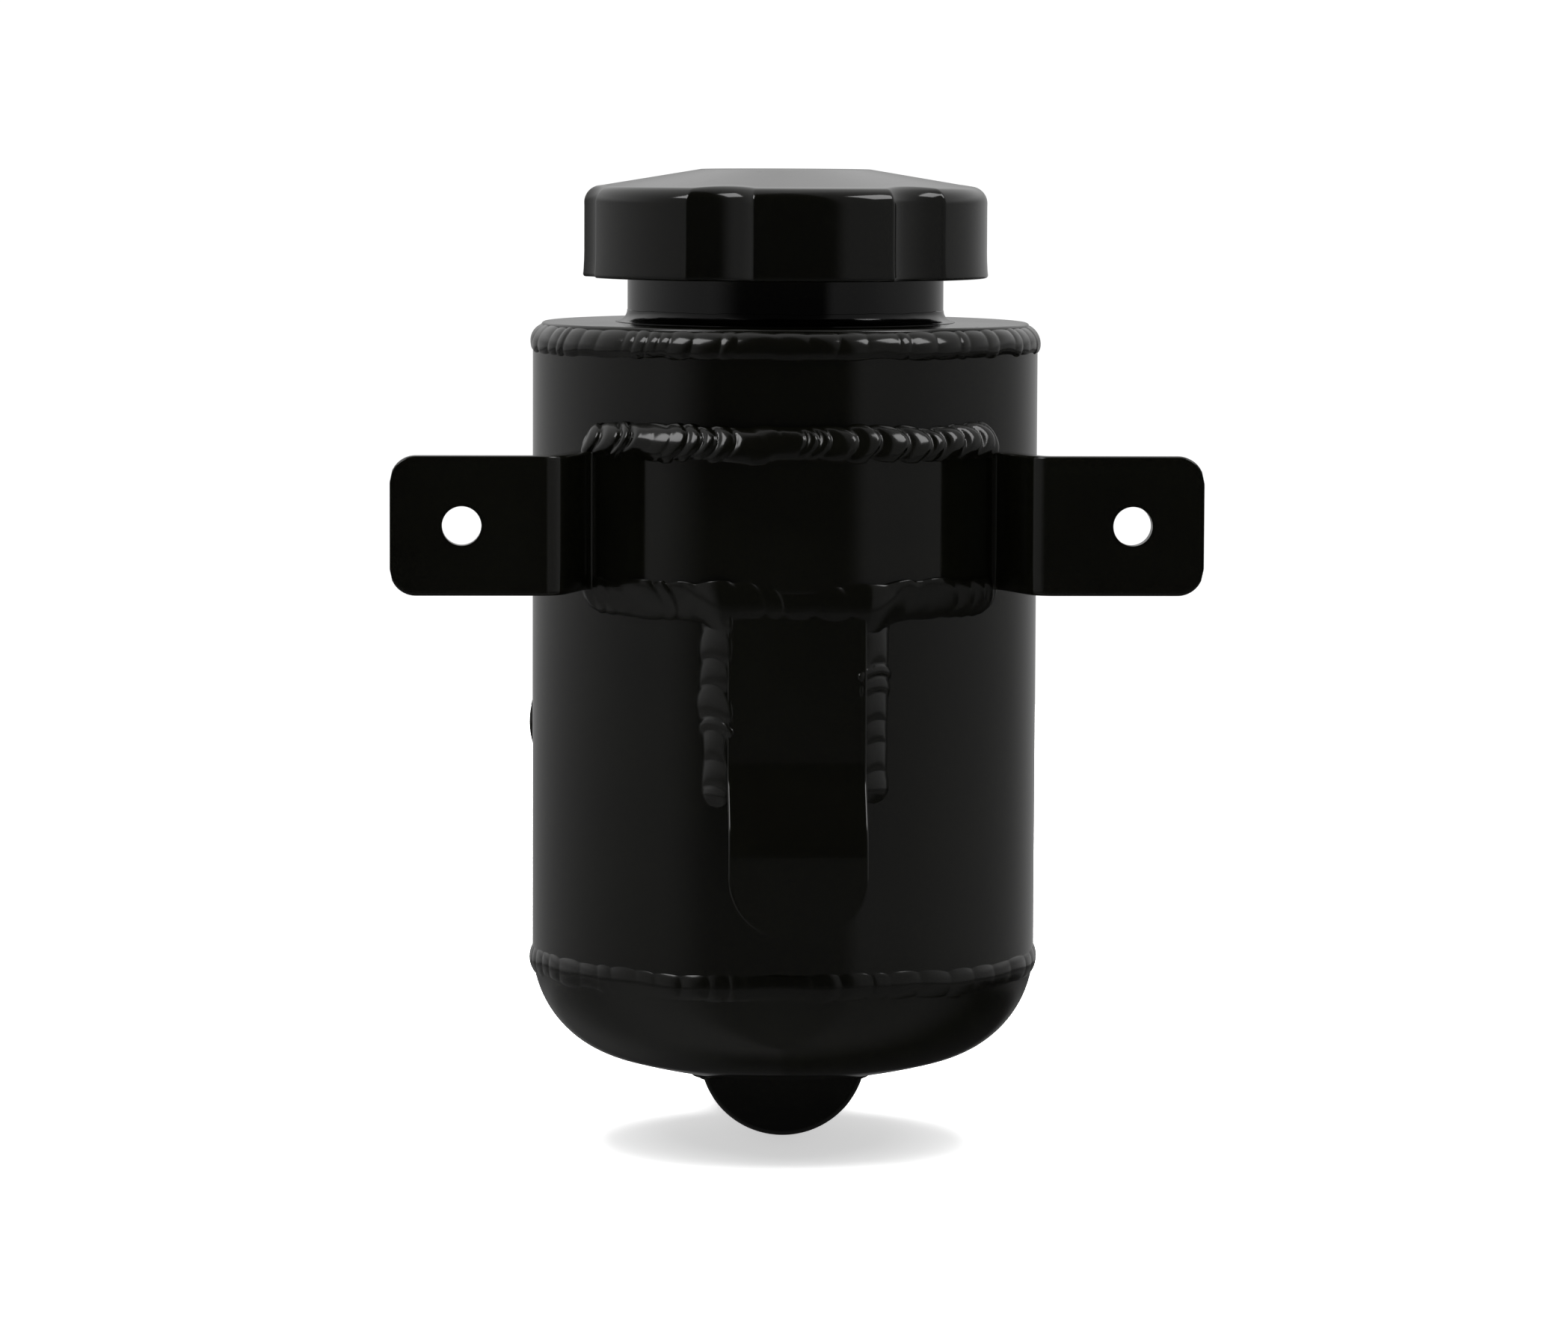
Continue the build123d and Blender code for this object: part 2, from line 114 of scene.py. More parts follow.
# %% Mesh helpers
def mesh_object(name, points, quads, sharp=35.0):
    """One mesh from points in tank millimetres and rows of four corners.

    Points closer than a thousandth of a millimetre are one point, so a quad at a pole loses
    a corner and becomes a triangle.  The volume is a sum of signed tetrahedra: if it comes
    out negative, the faces point inwards and every one is reversed."""
    keys = np.round(points / 0.001).astype(np.int64)
    _, first, back = np.unique(keys, axis=0, return_index=True, return_inverse=True)
    points = points[first]
    quads = back.reshape(-1)[quads]
    a, b, c, d = (points[quads[:, i]] for i in range(4))
    volume = np.einsum("ij,ij->i", a, np.cross(b, c)) + np.einsum("ij,ij->i", a, np.cross(c, d))
    if volume.sum() < 0:
        quads = quads[:, ::-1]
    same = quads == np.roll(quads, -1, axis=1)
    whole = quads[~same.any(axis=1)]
    pinched = quads[same.sum(axis=1) == 1]
    corner = np.argmax(pinched == np.roll(pinched, -1, axis=1), axis=1)
    rows = np.arange(len(pinched))
    triangles = np.stack([pinched[rows, (corner + i) % 4] for i in (1, 2, 3)], axis=1)
    mesh = bpy.data.meshes.new(name)
    placed = (points + AXIS) / 1000
    mesh.from_pydata(placed.tolist(), [], whole.tolist() + triangles.tolist())
    mesh.shade_smooth()
    mesh.set_sharp_from_angle(angle=math.radians(sharp))
    piece = bpy.data.objects.new(name, mesh)
    scene.collection.objects.link(piece)
    return piece


def grid_quads(rows, columns, wrap_rows, wrap_columns):
    """Corner numbers of every cell of a grid, closed on itself where it wraps."""
    i = np.arange(rows if wrap_rows else rows - 1)
    j = np.arange(columns if wrap_columns else columns - 1)
    i, j = (part.ravel() for part in np.meshgrid(i, j, indexing="ij"))
    up, right = (i + 1) % rows, (j + 1) % columns
    return np.stack([i * columns + j, up * columns + j, up * columns + right,
                     i * columns + right], axis=1)


def surface(name, grid, wrap_rows=False, wrap_columns=False, sharp=35.0):
    """A mesh object from a grid of points, shaped rows by columns by three."""
    rows, columns = grid.shape[:2]
    quads = grid_quads(rows, columns, wrap_rows, wrap_columns)
    return mesh_object(name, grid.reshape(-1, 3), quads, sharp)


def rounded(corners, radii, steps=8, support=0.35):
    """A closed outline with its corners rounded.

    At each corner the round starts and ends at radius / tan(half the corner's angle) from
    it, and the points between lie on that circle.  One more point stands a little before
    and after, so that smooth shading doesn't bleed from the round into the flat."""
    corners = np.array(corners, float)
    outline = []
    for corner, before, after, radius in zip(
            corners, np.roll(corners, 1, axis=0), np.roll(corners, -1, axis=0), radii):
        to_before = (before - corner) / np.linalg.norm(before - corner)
        to_after = (after - corner) / np.linalg.norm(after - corner)
        if radius <= 0:
            outline.append(corner[None])
            continue
        half = math.acos(np.clip(to_before @ to_after, -1, 1)) / 2
        reach = radius / math.tan(half)
        start, end = corner + to_before * reach, corner + to_after * reach
        centre = corner + (to_before + to_after) / np.linalg.norm(to_before + to_after) \
            * radius / math.sin(half)
        turn = np.linspace(0, 1, steps + 1)[:, None]
        sweep = math.pi - 2 * half
        arc = (np.sin((1 - turn) * sweep) * (start - centre)
               + np.sin(turn * sweep) * (end - centre)) / math.sin(sweep) + centre
        lead = min(support, 0.3 * reach)
        outline.append(np.concatenate([start[None] + to_before * lead, arc,
                                       end[None] + to_after * lead]))
    return np.concatenate(outline)


def around(angle, radius, height):
    """Points round the axis: a row for each angle, a column for each point of an outline."""
    height = height + 0 * (angle + radius)
    return np.stack([np.cos(angle) * radius, np.sin(angle) * radius, height], axis=2)


def turned(name, outline, segments=288):
    """A turned piece: a closed outline of radius and height, carried once round the axis."""
    angle = np.linspace(0, 2 * np.pi, segments, endpoint=False)[:, None]
    return surface(name, around(angle, outline[:, 0], outline[:, 1]), True, True)


def cut(piece, cutter):
    """Take one closed piece out of another, and throw the cutter away."""
    modifier = piece.modifiers.new("cut", "BOOLEAN")
    modifier.operation = "DIFFERENCE"
    modifier.solver = "EXACT"
    modifier.object = cutter
    depsgraph = bpy.context.evaluated_depsgraph_get()
    mesh = bpy.data.meshes.new_from_object(piece.evaluated_get(depsgraph))
    piece.modifiers.clear()
    piece.data = mesh
    mesh.shade_smooth()
    mesh.set_sharp_from_angle(angle=math.radians(30))
    bpy.data.objects.remove(cutter)
    return piece


def dress(piece, node):
    """Ride on the CAD node's body, stand for the node, and take its slot and finish."""
    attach(piece, nodes[node]["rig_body"])
    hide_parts(node)
    piece.data.materials.clear()
    piece.data.materials.append(FINISHES[SLOT_OF[node]])
    print(piece.name, "stands for", node, "with", len(piece.data.polygons), "faces")
    return piece


SLOT_OF = {part["node"]: part["material_slot"] for part in frame["record"]["subparts"]}

# %% [markdown]
# ## Shader arithmetic
# Patterns are sums and products of noise, so a small class lets them be written as plain
# expressions.  Each operator adds one Math node behind the scenes.


# %% Shader expressions
class Wire:
    """A shader value: an output socket in a node tree, with arithmetic."""

    def __init__(self, tree, socket):
        self.tree, self.socket = tree, socket

    def node(self, kind, settings=None, inputs=None, output=0):
        """Add a node: its settings first, then values or wires for its sockets."""
        made = self.tree.nodes.new(kind)
        for key, value in (settings or {}).items():
            setattr(made, key, value)
        for key, value in (inputs or {}).items():
            if isinstance(value, Wire):
                self.tree.links.new(value.socket, made.inputs[key])
            else:
                made.inputs[key].default_value = value
        return Wire(self.tree, made.outputs[output])

    def maths(self, operation, first, second=0.0):
        """Add a Math node; the operators below are short names for it."""
        return self.node("ShaderNodeMath", {"operation": operation}, {0: first, 1: second})

    def __add__(self, other):
        return self.maths("ADD", self, other)

    __radd__ = __add__

    def __sub__(self, other):
        return self.maths("SUBTRACT", self, other)

    def __rsub__(self, other):
        return self.maths("SUBTRACT", other, self)

    def __mul__(self, other):
        return self.maths("MULTIPLY", self, other)

    __rmul__ = __mul__

    def step(self, start, end):
        """0 before start, 1 after end, and smooth between."""
        return self.node("ShaderNodeMapRange", {"interpolation_type": "SMOOTHSTEP"},
                         {"Value": self, "From Min": start, "From Max": end})


class Finish:
    """A material with a Principled shader, and the wires that its patterns start from."""

    def __init__(self, name, **values):
        self.material = bpy.data.materials.new(name)
        self.material.use_nodes = True
        tree = self.material.node_tree
        tree.nodes.clear()
        self.tree = tree
        self.shader = tree.nodes.new("ShaderNodeBsdfPrincipled")
        output = tree.nodes.new("ShaderNodeOutputMaterial")
        tree.links.new(self.shader.outputs[0], output.inputs[0])
        coordinates = tree.nodes.new("ShaderNodeTexCoord")
        self.place = Wire(tree, coordinates.outputs["Object"])
        for key, value in values.items():
            self.shader.inputs[key.replace("_", " ")].default_value = value

    def feed(self, socket, wire):
        """Lead a wire into one of the shader's sockets."""
        self.tree.links.new(wire.socket, self.shader.inputs[socket])

    def noise(self, size, detail=2.0, roughness=0.5):
        """Soft noise whose blotches are about this many millimetres across."""
        return self.place.node("ShaderNodeTexNoise", None, {
            "Vector": self.place, "Scale": 1000 / size, "Detail": detail,
            "Roughness": roughness})

    def mix(self, factor, first, second):
        """A colour between two, by a factor."""
        return self.place.node("ShaderNodeMix", {"data_type": "RGBA"},
                               {0: factor, 6: first, 7: second}, output=2)

    def vary(self, pattern, roughness, spread, first, second):
        """Carry roughness and colour from their first values to their second by a pattern."""
        self.feed("Roughness", roughness + pattern * spread)
        self.feed("Base Color", self.mix(pattern, (*first, 1), (*second, 1)))

    def relief(self, height, depth):
        """Tilt the surface by a height pattern, its full depth given in millimetres."""
        bump = self.place.node("ShaderNodeBump", None, {
            "Strength": 1.0, "Distance": depth / 1000, "Height": height})
        self.feed("Normal", bump)


# %% [markdown]
# ## Gloss black powder coat
# Powder is baked until it flows.  It comes out as a thick, hard gloss that is not quite
# flat: fine orange peel a millimetre or so across, over a slow swell that follows the
# sheet beneath.  Its colour is nearly pure black, so what shows is the reflection.

# %% Powder coat
def make_coat(name, peel, swell, roughness, black=0.001):
    """Gloss coat with orange peel and swell, both in millimetres of height."""
    finish = Finish(name, Roughness=roughness, IOR=1.5)
    flow = finish.noise(14.0, 1.0) * swell + finish.noise(1.3, 1.5) * peel
    finish.relief(flow, 1.0)
    cloud = finish.noise(22.0, 3.0).step(0.35, 0.7)
    haze = finish.noise(5.0, 4.0)
    finish.feed("Roughness", roughness + cloud * 0.03 + haze * 0.02)
    finish.feed("Base Color", finish.mix(
        cloud, (black, black, black * 0.6, 1), (black * 1.3, black * 1.32, black * 0.75, 1)))
    return finish.material


COAT = make_coat("gloss black powder coat", 0.0016, 0.012, 0.07)
WELD_COAT = make_coat("powder coat over weld", 0.002, 0.010, 0.13)
print("coats:", COAT.name, "and", WELD_COAT.name)

# %% [markdown]
# ## Cap, seal and bare metal
# The cap is a moulding in gloss black, smoother than powder coat and faintly softer at its
# edges.  Under it are a satin insert, a matt rubber ring and zinc-plated hardware, and
# inside the tank the metal is bare.

# %% Other finishes
def make_cap_black():
    """Moulded gloss black with a very faint swell and a few fine handling marks."""
    finish = Finish("gloss black moulding", Roughness=0.1, IOR=1.5)
    finish.relief(finish.noise(9.0, 1.0) * 0.005 + finish.noise(0.9, 1.0) * 0.0007, 1.0)
    marks = finish.noise(3.0, 6.0, 0.7).step(0.56, 0.7)
    finish.vary(marks, 0.09, 0.07, (0.0011, 0.0011, 0.0007), (0.0016, 0.0016, 0.0011))
    return finish.material


def make_satin_black():
    """Fine-grained satin black for the insert."""
    finish = Finish("satin black", Roughness=0.4)
    grain = finish.noise(0.35, 2.0)
    finish.relief(grain, 0.01)
    finish.vary(grain, 0.34, 0.14, (0.012, 0.012, 0.012), (0.02, 0.02, 0.021))
    return finish.material


def make_rubber():
    """Matt rubber, a little dusty."""
    finish = Finish("seal rubber", Roughness=0.75)
    bloom = finish.noise(4.0, 5.0).step(0.4, 0.75)
    finish.relief(finish.noise(0.5, 3.0), 0.02)
    finish.vary(bloom, 0.66, 0.18, (0.012, 0.012, 0.012), (0.035, 0.034, 0.033))
    return finish.material


def make_zinc():
    """Bright zinc plate with soft cloudy spangle."""
    finish = Finish("zinc plate", Roughness=0.3, Metallic=1.0)
    spangle = finish.noise(2.2, 4.0, 0.65)
    finish.relief(finish.noise(0.6, 3.0), 0.006)
    finish.vary(spangle, 0.2, 0.22, (0.55, 0.56, 0.58), (0.72, 0.71, 0.68))
    return finish.material


def make_bare():
    """Bare aluminium as it left the mill, slightly dull with oil."""
    finish = Finish("bare aluminium", Roughness=0.35, Metallic=1.0)
    stain = finish.noise(8.0, 5.0, 0.6).step(0.35, 0.75)
    finish.relief(finish.noise(0.7, 4.0), 0.01)
    finish.vary(stain, 0.28, 0.2, (0.72, 0.72, 0.73), (0.5, 0.49, 0.46))
    return finish.material


FINISHES = {"powder_coat": COAT, "weld_coat": WELD_COAT, "cap_black": make_cap_black(),
            "insert_black": make_satin_black(), "seal_rubber": make_rubber(),
            "zinc_steel": make_zinc(), "bare_aluminium": make_bare()}
for name, node in nodes.items():
    node.data.materials.clear()
    node.data.materials.append(FINISHES[SLOT_OF[name]])
print(len(FINISHES), "finishes on", len(nodes), "CAD nodes")

# %% [markdown]
# ## Camera
# The tank is looked at from its wall side, a little above the bolt holes and slightly from
# the left.  A long lens from far off keeps its upright edges upright, as in a catalogue.

# %% Camera
CAMERA_TURN = math.radians(-2.75)
CAMERA_FAR = 1226.0  # level distance from the tank's axis, millimetres
CAMERA_Z = 75.3
TARGET_Z = -28.6
CAMERA_ROLL = math.radians(0.23)


def aim(thing, target):
    """Turn a camera or light so that it looks at a point, both in metres."""
    thing.rotation_euler = (Vector(target) - thing.location).to_track_quat("-Z", "Y").to_euler()


camera = bpy.data.objects.new("camera", bpy.data.cameras.new("camera"))
scene.collection.objects.link(camera)
scene.camera = camera
camera.data.lens = 149.0
camera.data.sensor_width = 36.0
camera.location = ((AXIS[0] + math.sin(CAMERA_TURN) * CAMERA_FAR) / 1000,
                   (AXIS[1] - math.cos(CAMERA_TURN) * CAMERA_FAR) / 1000, CAMERA_Z / 1000)
aim(camera, (AXIS[0] / 1000, AXIS[1] / 1000, TARGET_Z / 1000))
camera.rotation_euler.rotate_axis("Z", CAMERA_ROLL)
print("camera", [round(value, 3) for value in camera.location])

# %% [markdown]
# ## Light all round
# A gloss black thing has hardly any colour of its own, so lighting it means choosing what it
# mirrors.  Big boxes close by would leave hard patches.  Here most of the light is painted on
# the world by direction instead: each edge of a grey zone is a smooth step of an angle, and
# the tank's round wall draws those steps as upright bands.  The zone behind the camera is
# dark, which is what draws the tank black instead of grey.  Two small soft boxes add glints,
# and the overhead light gives the floor its soft shadow and is hidden from reflections.

# %% Studio
def panel(name, size, location, target, watts):
    """A soft box: a square area light of so many millimetres, aimed at a point."""
    light = bpy.data.lights.new(name, "AREA")
    light.shape = "SQUARE"
    light.size = size / 1000
    light.energy = watts
    lamp = bpy.data.objects.new(name, light)
    scene.collection.objects.link(lamp)
    lamp.location = np.array(location) / 1000
    aim(lamp, np.array(target) / 1000)
    return lamp


panel("left soft box", 560, (-900, -350, 1150), AXIS, 4.5)
panel("right soft box", 560, (900, -300, 1150), AXIS, 4.5)
overhead = panel("overhead", 1800, (0, 300, 1700), (0, 300, 0), 130)
overhead.visible_glossy = False


def make_world():
    """Light from all round, by its direction: dark behind the camera, grey at the sides,
    white high beyond the tank and dimmer below, with a dark line where a table's far edge
    would be.  The camera itself sees plain white."""
    world = bpy.data.worlds.new("studio")
    scene.world = world
    world.use_nodes = True
    tree = world.node_tree
    tree.nodes.clear()
    output = tree.nodes.new("ShaderNodeOutputWorld")
    toward = Wire(tree, tree.nodes.new("ShaderNodeTexCoord").outputs["Generated"])
    split = tree.nodes.new("ShaderNodeSeparateXYZ")
    tree.links.new(toward.socket, split.inputs[0])
    x, y, z = (Wire(tree, split.outputs[i]) for i in range(3))
    sin, cos = math.sin(CAMERA_TURN), math.cos(CAMERA_TURN)
    beyond = y * cos - x * sin
    across = x * cos + y * sin
    angle = x.maths("ARCTAN2", across, 0 - beyond) * (180 / math.pi)
    low = (0 - z).step(0.04, 0.13)
    deep = (0 - z).step(0.12, 0.4)
    left = 0.24 * (0 - angle).step(30, 58) + 0.12 * (0 - angle).step(60, 118)
    right = 0.19 * angle.step(26, 37) + 0.07 * angle.step(50, 90) + 0.12 * angle.step(120, 155)
    sky = 0.4 * z.step(0.05, 0.3) * beyond.step(-0.45, 0.75)
    line = (0 - z).step(0.134, 0.146) * (1 - (0 - z).step(0.18, 0.3))
    table = 0.085 * (0 - z).step(0.06, 0.16) * (1 - 0.9 * line)
    under = deep * beyond.step(-0.3, 0.4)
    middle = 1 - (0 - across).step(0.05, 0.5)
    left = left * (1 - 0.52 * low) * (1 - under * (0.35 + 0.55 * middle)) * (1 - 0.45 * line)
    rest = 0.026 + right * (1 - 0.38 * low - 0.45 * deep) * (1 - 0.7 * line) + table
    glow = left + rest * (1 - 0.9 * under) + sky
    seen = Wire(tree, tree.nodes.new("ShaderNodeLightPath").outputs["Is Camera Ray"])
    plain = tree.nodes.new("ShaderNodeBackground")
    plain.inputs[1].default_value = 1.05
    studio = tree.nodes.new("ShaderNodeBackground")
    tree.links.new(glow.socket, studio.inputs[1])
    for shade in (plain, studio):
        shade.inputs[0].default_value = (1, 1, 1, 1)
    either = tree.nodes.new("ShaderNodeMixShader")
    tree.links.new(seen.socket, either.inputs[0])
    tree.links.new(studio.outputs[0], either.inputs[1])
    tree.links.new(plain.outputs[0], either.inputs[2])
    tree.links.new(either.outputs[0], output.inputs[0])


make_world()
scene.view_settings.view_transform = "Standard"

# %% [markdown]
# ## Floor
# The floor only has to be pale and to take a soft shadow.  It glows a little, so that it stays
# near white beside so dark a thing.


# %% Floor
FLOOR_GAP = 0.5  # below the tank's lowest point, millimetres
FLOOR_REACH = (-0.6, 0.95, 0.9)  # near edge, far edge and half width, metres


def make_floor():
    """A pale floor just under the tank, with a soft fine grain."""
    low = (outlet_low[2] - FLOOR_GAP) / 1000
    mesh = bpy.data.meshes.new("floor")
    near, far, half = FLOOR_REACH
    mesh.from_pydata([(-half, near, low), (half, near, low), (half, far, low), (-half, far, low)],
                     [], [(0, 1, 2, 3)])
    floor = bpy.data.objects.new("floor", mesh)
    scene.collection.objects.link(floor)
    finish = Finish("pale floor", Roughness=0.9, Emission_Color=(1, 1, 1, 1),
                    Emission_Strength=0.55)
    finish.feed("Base Color", finish.mix(finish.noise(3.0, 2.0), (0.86, 0.86, 0.86, 1),
                                         (0.9, 0.9, 0.9, 1)))
    mesh.materials.append(finish.material)
    floor.visible_glossy = False


make_floor()

# %% [markdown]
# ## The tank's shell
# Tube, lid and bottom head are turned shapes, so each is one outline carried round the axis.
# The bottom head is a knuckle arc that runs into a flatter crown arc, like a pressed end.

# %% Tube, lid and bottom head
PLATE_R = BODY_R - WALL / 2
KNUCKLE = 20.8  # radius of the arc that leaves the tube
CROWN = 2.5 * BODY_R  # radius of the flatter arc across the middle
CROWN_TURN = math.acos((BODY_R - KNUCKLE) / (CROWN - KNUCKLE))
inlet_aim = np.array(MOUNTS["inlet_port"]["axis"])
inlet_z = MOUNTS["inlet_port"]["pos_m"][2] * 1000
INLET_R = 7 / 8 * 25.4 / 2  # seven-eighths bar


def head_outline(inset, steps=28):
    """Radius and height down the bottom head, from rim to middle: an arc of the knuckle,
    then an arc of the crown that meets it without a kink."""
    knuckle = np.linspace(0, CROWN_TURN, steps)
    crown = np.linspace(CROWN_TURN, np.pi / 2, steps)
    lift = SEAM_Z + (CROWN - KNUCKLE) * math.sin(CROWN_TURN)
    upper = np.stack([BODY_R - KNUCKLE + (KNUCKLE - inset) * np.cos(knuckle),
                      SEAM_Z - (KNUCKLE - inset) * np.sin(knuckle)], axis=1)
    lower = np.stack([(CROWN - inset) * np.cos(crown),
                      lift - (CROWN - inset) * np.sin(crown)], axis=1)
    return np.concatenate([upper, lower[1:]])


def rod(name, radius, start, end, segments=96):
    """A plain round bar between two points, closed at both ends."""
    start, end = np.array(start, float), np.array(end, float)
    along = (end - start) / np.linalg.norm(end - start)
    side = np.cross(along, (0, 0, 1) if abs(along[2]) < 0.9 else (1, 0, 0))
    side /= np.linalg.norm(side)
    other = np.cross(along, side)
    angle = np.linspace(0, 2 * np.pi, segments, endpoint=False)[:, None, None]
    stations = [(start, 0.0), (start, radius), (end, radius), (end, 0.0)]
    ring = np.cos(angle) * side + np.sin(angle) * other
    grid = np.concatenate([place + size * ring for place, size in stations], axis=1)
    return surface(name, grid, wrap_rows=True)


def make_tube():
    """The tube's wall, with the inlet's hole cut through it."""
    heights = np.linspace(SEAM_Z, TUBE_TOP, 41)
    outline = np.concatenate([np.stack([np.full(41, BODY_R), heights], axis=1),
                              np.stack([np.full(41, BODY_R - WALL), heights[::-1]], axis=1)])
    tube = turned("tank_tube", outline)
    start = inlet_aim * 20 + (0, 0, inlet_z)
    cutter = rod("cutter", INLET_R, start, inlet_aim * 80 + (0, 0, inlet_z))
    return cut(tube, cutter)


def make_head():
    """The dished bottom, with the outlet bar's hole cut through it."""
    outline = np.concatenate([head_outline(0), head_outline(WALL)[::-1]])
    head = turned("tank_bottom", outline)
    cutter = rod("cutter", OUTLET_R, (0, outlet_low[1] - AXIS[1], OUTLET_Z),
                 (0, 80, OUTLET_Z), 128)
    return cut(head, cutter)


def make_lid():
    """Flat lid with the neck's hole."""
    corners = [(NECK_R, TUBE_TOP), (PLATE_R, TUBE_TOP), (PLATE_R, PLATE_TOP), (NECK_R, PLATE_TOP)]
    return turned("tank_lid", rounded(corners, [0, 0, 0.7, 0], 6))


dress(make_tube(), "body_tube")
dress(make_head(), "bottom_dome")
dress(make_lid(), "top_plate")

# %% [markdown]
# ## Filler neck
# The neck is machined, so it is turned too, but its thread winds round it.  A thread is a
# height pattern on a cylinder: the ridge's middle climbs with the angle, and how far a point
# is from that middle, up or down, says how far the surface stands out there.

# %% Filler neck
NECK_BORE = 25.4
NECK_CORE = 28.4  # radius under the thread
SHOULDER = 44.6  # height where the plain foot ends
THREAD_LEAD = 12.0
THREAD_STARTS = 3
THREAD_LOW = SHOULDER + 3.2
THREAD_CLIMB = 5.4
THREAD_DEPTH = 1.25
THREAD_HALF = 1.15  # half a ridge's width at its foot
THREAD_FLANK = 0.6  # how wide each sloping flank is


def thread_ridge(angle, height):
    """How far the neck's thread stands out, by angle in turns and height.

    Each ridge starts a third of a turn after the last, climbs one lead a turn, and dies away
    over a few degrees at both ends.  Across, it is flat on top with sloping flanks."""
    tallest = np.zeros(np.broadcast(angle, height).shape)
    turns = THREAD_CLIMB / THREAD_LEAD
    for start in range(THREAD_STARTS):
        along = (angle - start / THREAD_STARTS) % 1.0
        offset = np.abs(height - THREAD_LOW - THREAD_LEAD * along)
        flank = np.clip((THREAD_HALF - offset) / THREAD_FLANK, 0, 1)
        ends = np.clip(along / 0.015, 0, 1) * np.clip((turns - along) / 0.015, 0, 1)
        tallest = np.maximum(tallest, THREAD_DEPTH * flank * ends)
    return tallest


def make_neck():
    """Plain foot, threaded mouth and square rim, with the thread's relief on the outside."""
    foot = rounded([(NECK_BORE, TUBE_TOP), (NECK_R, TUBE_TOP), (NECK_R, SHOULDER - 0.6),
                    (NECK_CORE, SHOULDER)], [0, 0, 0.15, 0.2], 3)
    heights = np.linspace(SHOULDER + 0.3, NECK_TOP - 0.9, 110)
    mouth = np.stack([np.full(110, NECK_CORE), heights], axis=1)
    rim = rounded([(NECK_CORE, NECK_TOP - 1), (NECK_CORE, NECK_TOP), (NECK_BORE, NECK_TOP),
                   (NECK_BORE, TUBE_TOP + 1)], [0, 0.5, 0.4, 0], 5)
    outline = np.concatenate([foot, mouth, rim[1:]])
    angle = np.linspace(0, 1, 360, endpoint=False)[:, None]
    outside = (outline[:, 0] > NECK_CORE - 0.01) & (outline[:, 1] > SHOULDER + 0.2)
    radius = outline[:, 0] + np.where(outside, thread_ridge(angle, outline[:, 1]), 0)
    grid = around(2 * np.pi * angle, radius, outline[:, 1])
    return surface("filler_neck_turned", grid, True, True)


dress(make_neck(), "filler_neck")

# %% [markdown]
# ## Lobed cap
# The cap is a round moulding with finger notches scooped out of its side.  Seen from above,
# its edge is the lesser of a big circle and of scoops round it, blended over a small round.
# The top edge's round follows that outline, so each notch carries on up through it.

# %% Cap
NOTCHES = 6
FIRST_NOTCH = -111.5  # degrees round from the tank's right
NOTCH_DEPTH = 2.1
NOTCH_R = 14.0
CAP_FLAT_R = 16.0
CAP_CORNER = 3.2
CAP_SLOPE = 3.1 / (34.7 - CAP_FLAT_R)
INSERT_R = 33.2
CAP_CREASE = 0.16  # how softly a notch's edge is blended
RIM_FLARE = 0.25  # the skirt widens by this over its last few millimetres
RIM_FLARE_HEIGHT = 5.0
HEM_WIDTH = 0.55  # the rounded lower rim
HEM_HEIGHT = 0.5
cap_roof = box_mm("cap_insert")[1][2]


def lobed_radius(angle):
    """The cap's outline as a radius, by angle in radians.

    Along a ray, a scoop's edge lies where the ray enters its circle.  The two radii are
    blended by a smooth minimum, which leaves a crisp but rounded edge."""
    reach = CAP_R - NOTCH_DEPTH + NOTCH_R
    pitch = 2 * np.pi / NOTCHES
    off = (angle - math.radians(FIRST_NOTCH) + pitch / 2) % pitch - pitch / 2
    inside = np.maximum(NOTCH_R ** 2 - (reach * np.sin(off)) ** 2, 0)
    scoop = reach * np.cos(off) - np.sqrt(inside)
    scoop = np.where(inside > 0, scoop, reach)
    mixed = np.clip(0.5 + 0.5 * (CAP_R - scoop) / CAP_CREASE, 0, 1)
    return CAP_R + (scoop - CAP_R) * mixed - CAP_CREASE * mixed * (1 - mixed)


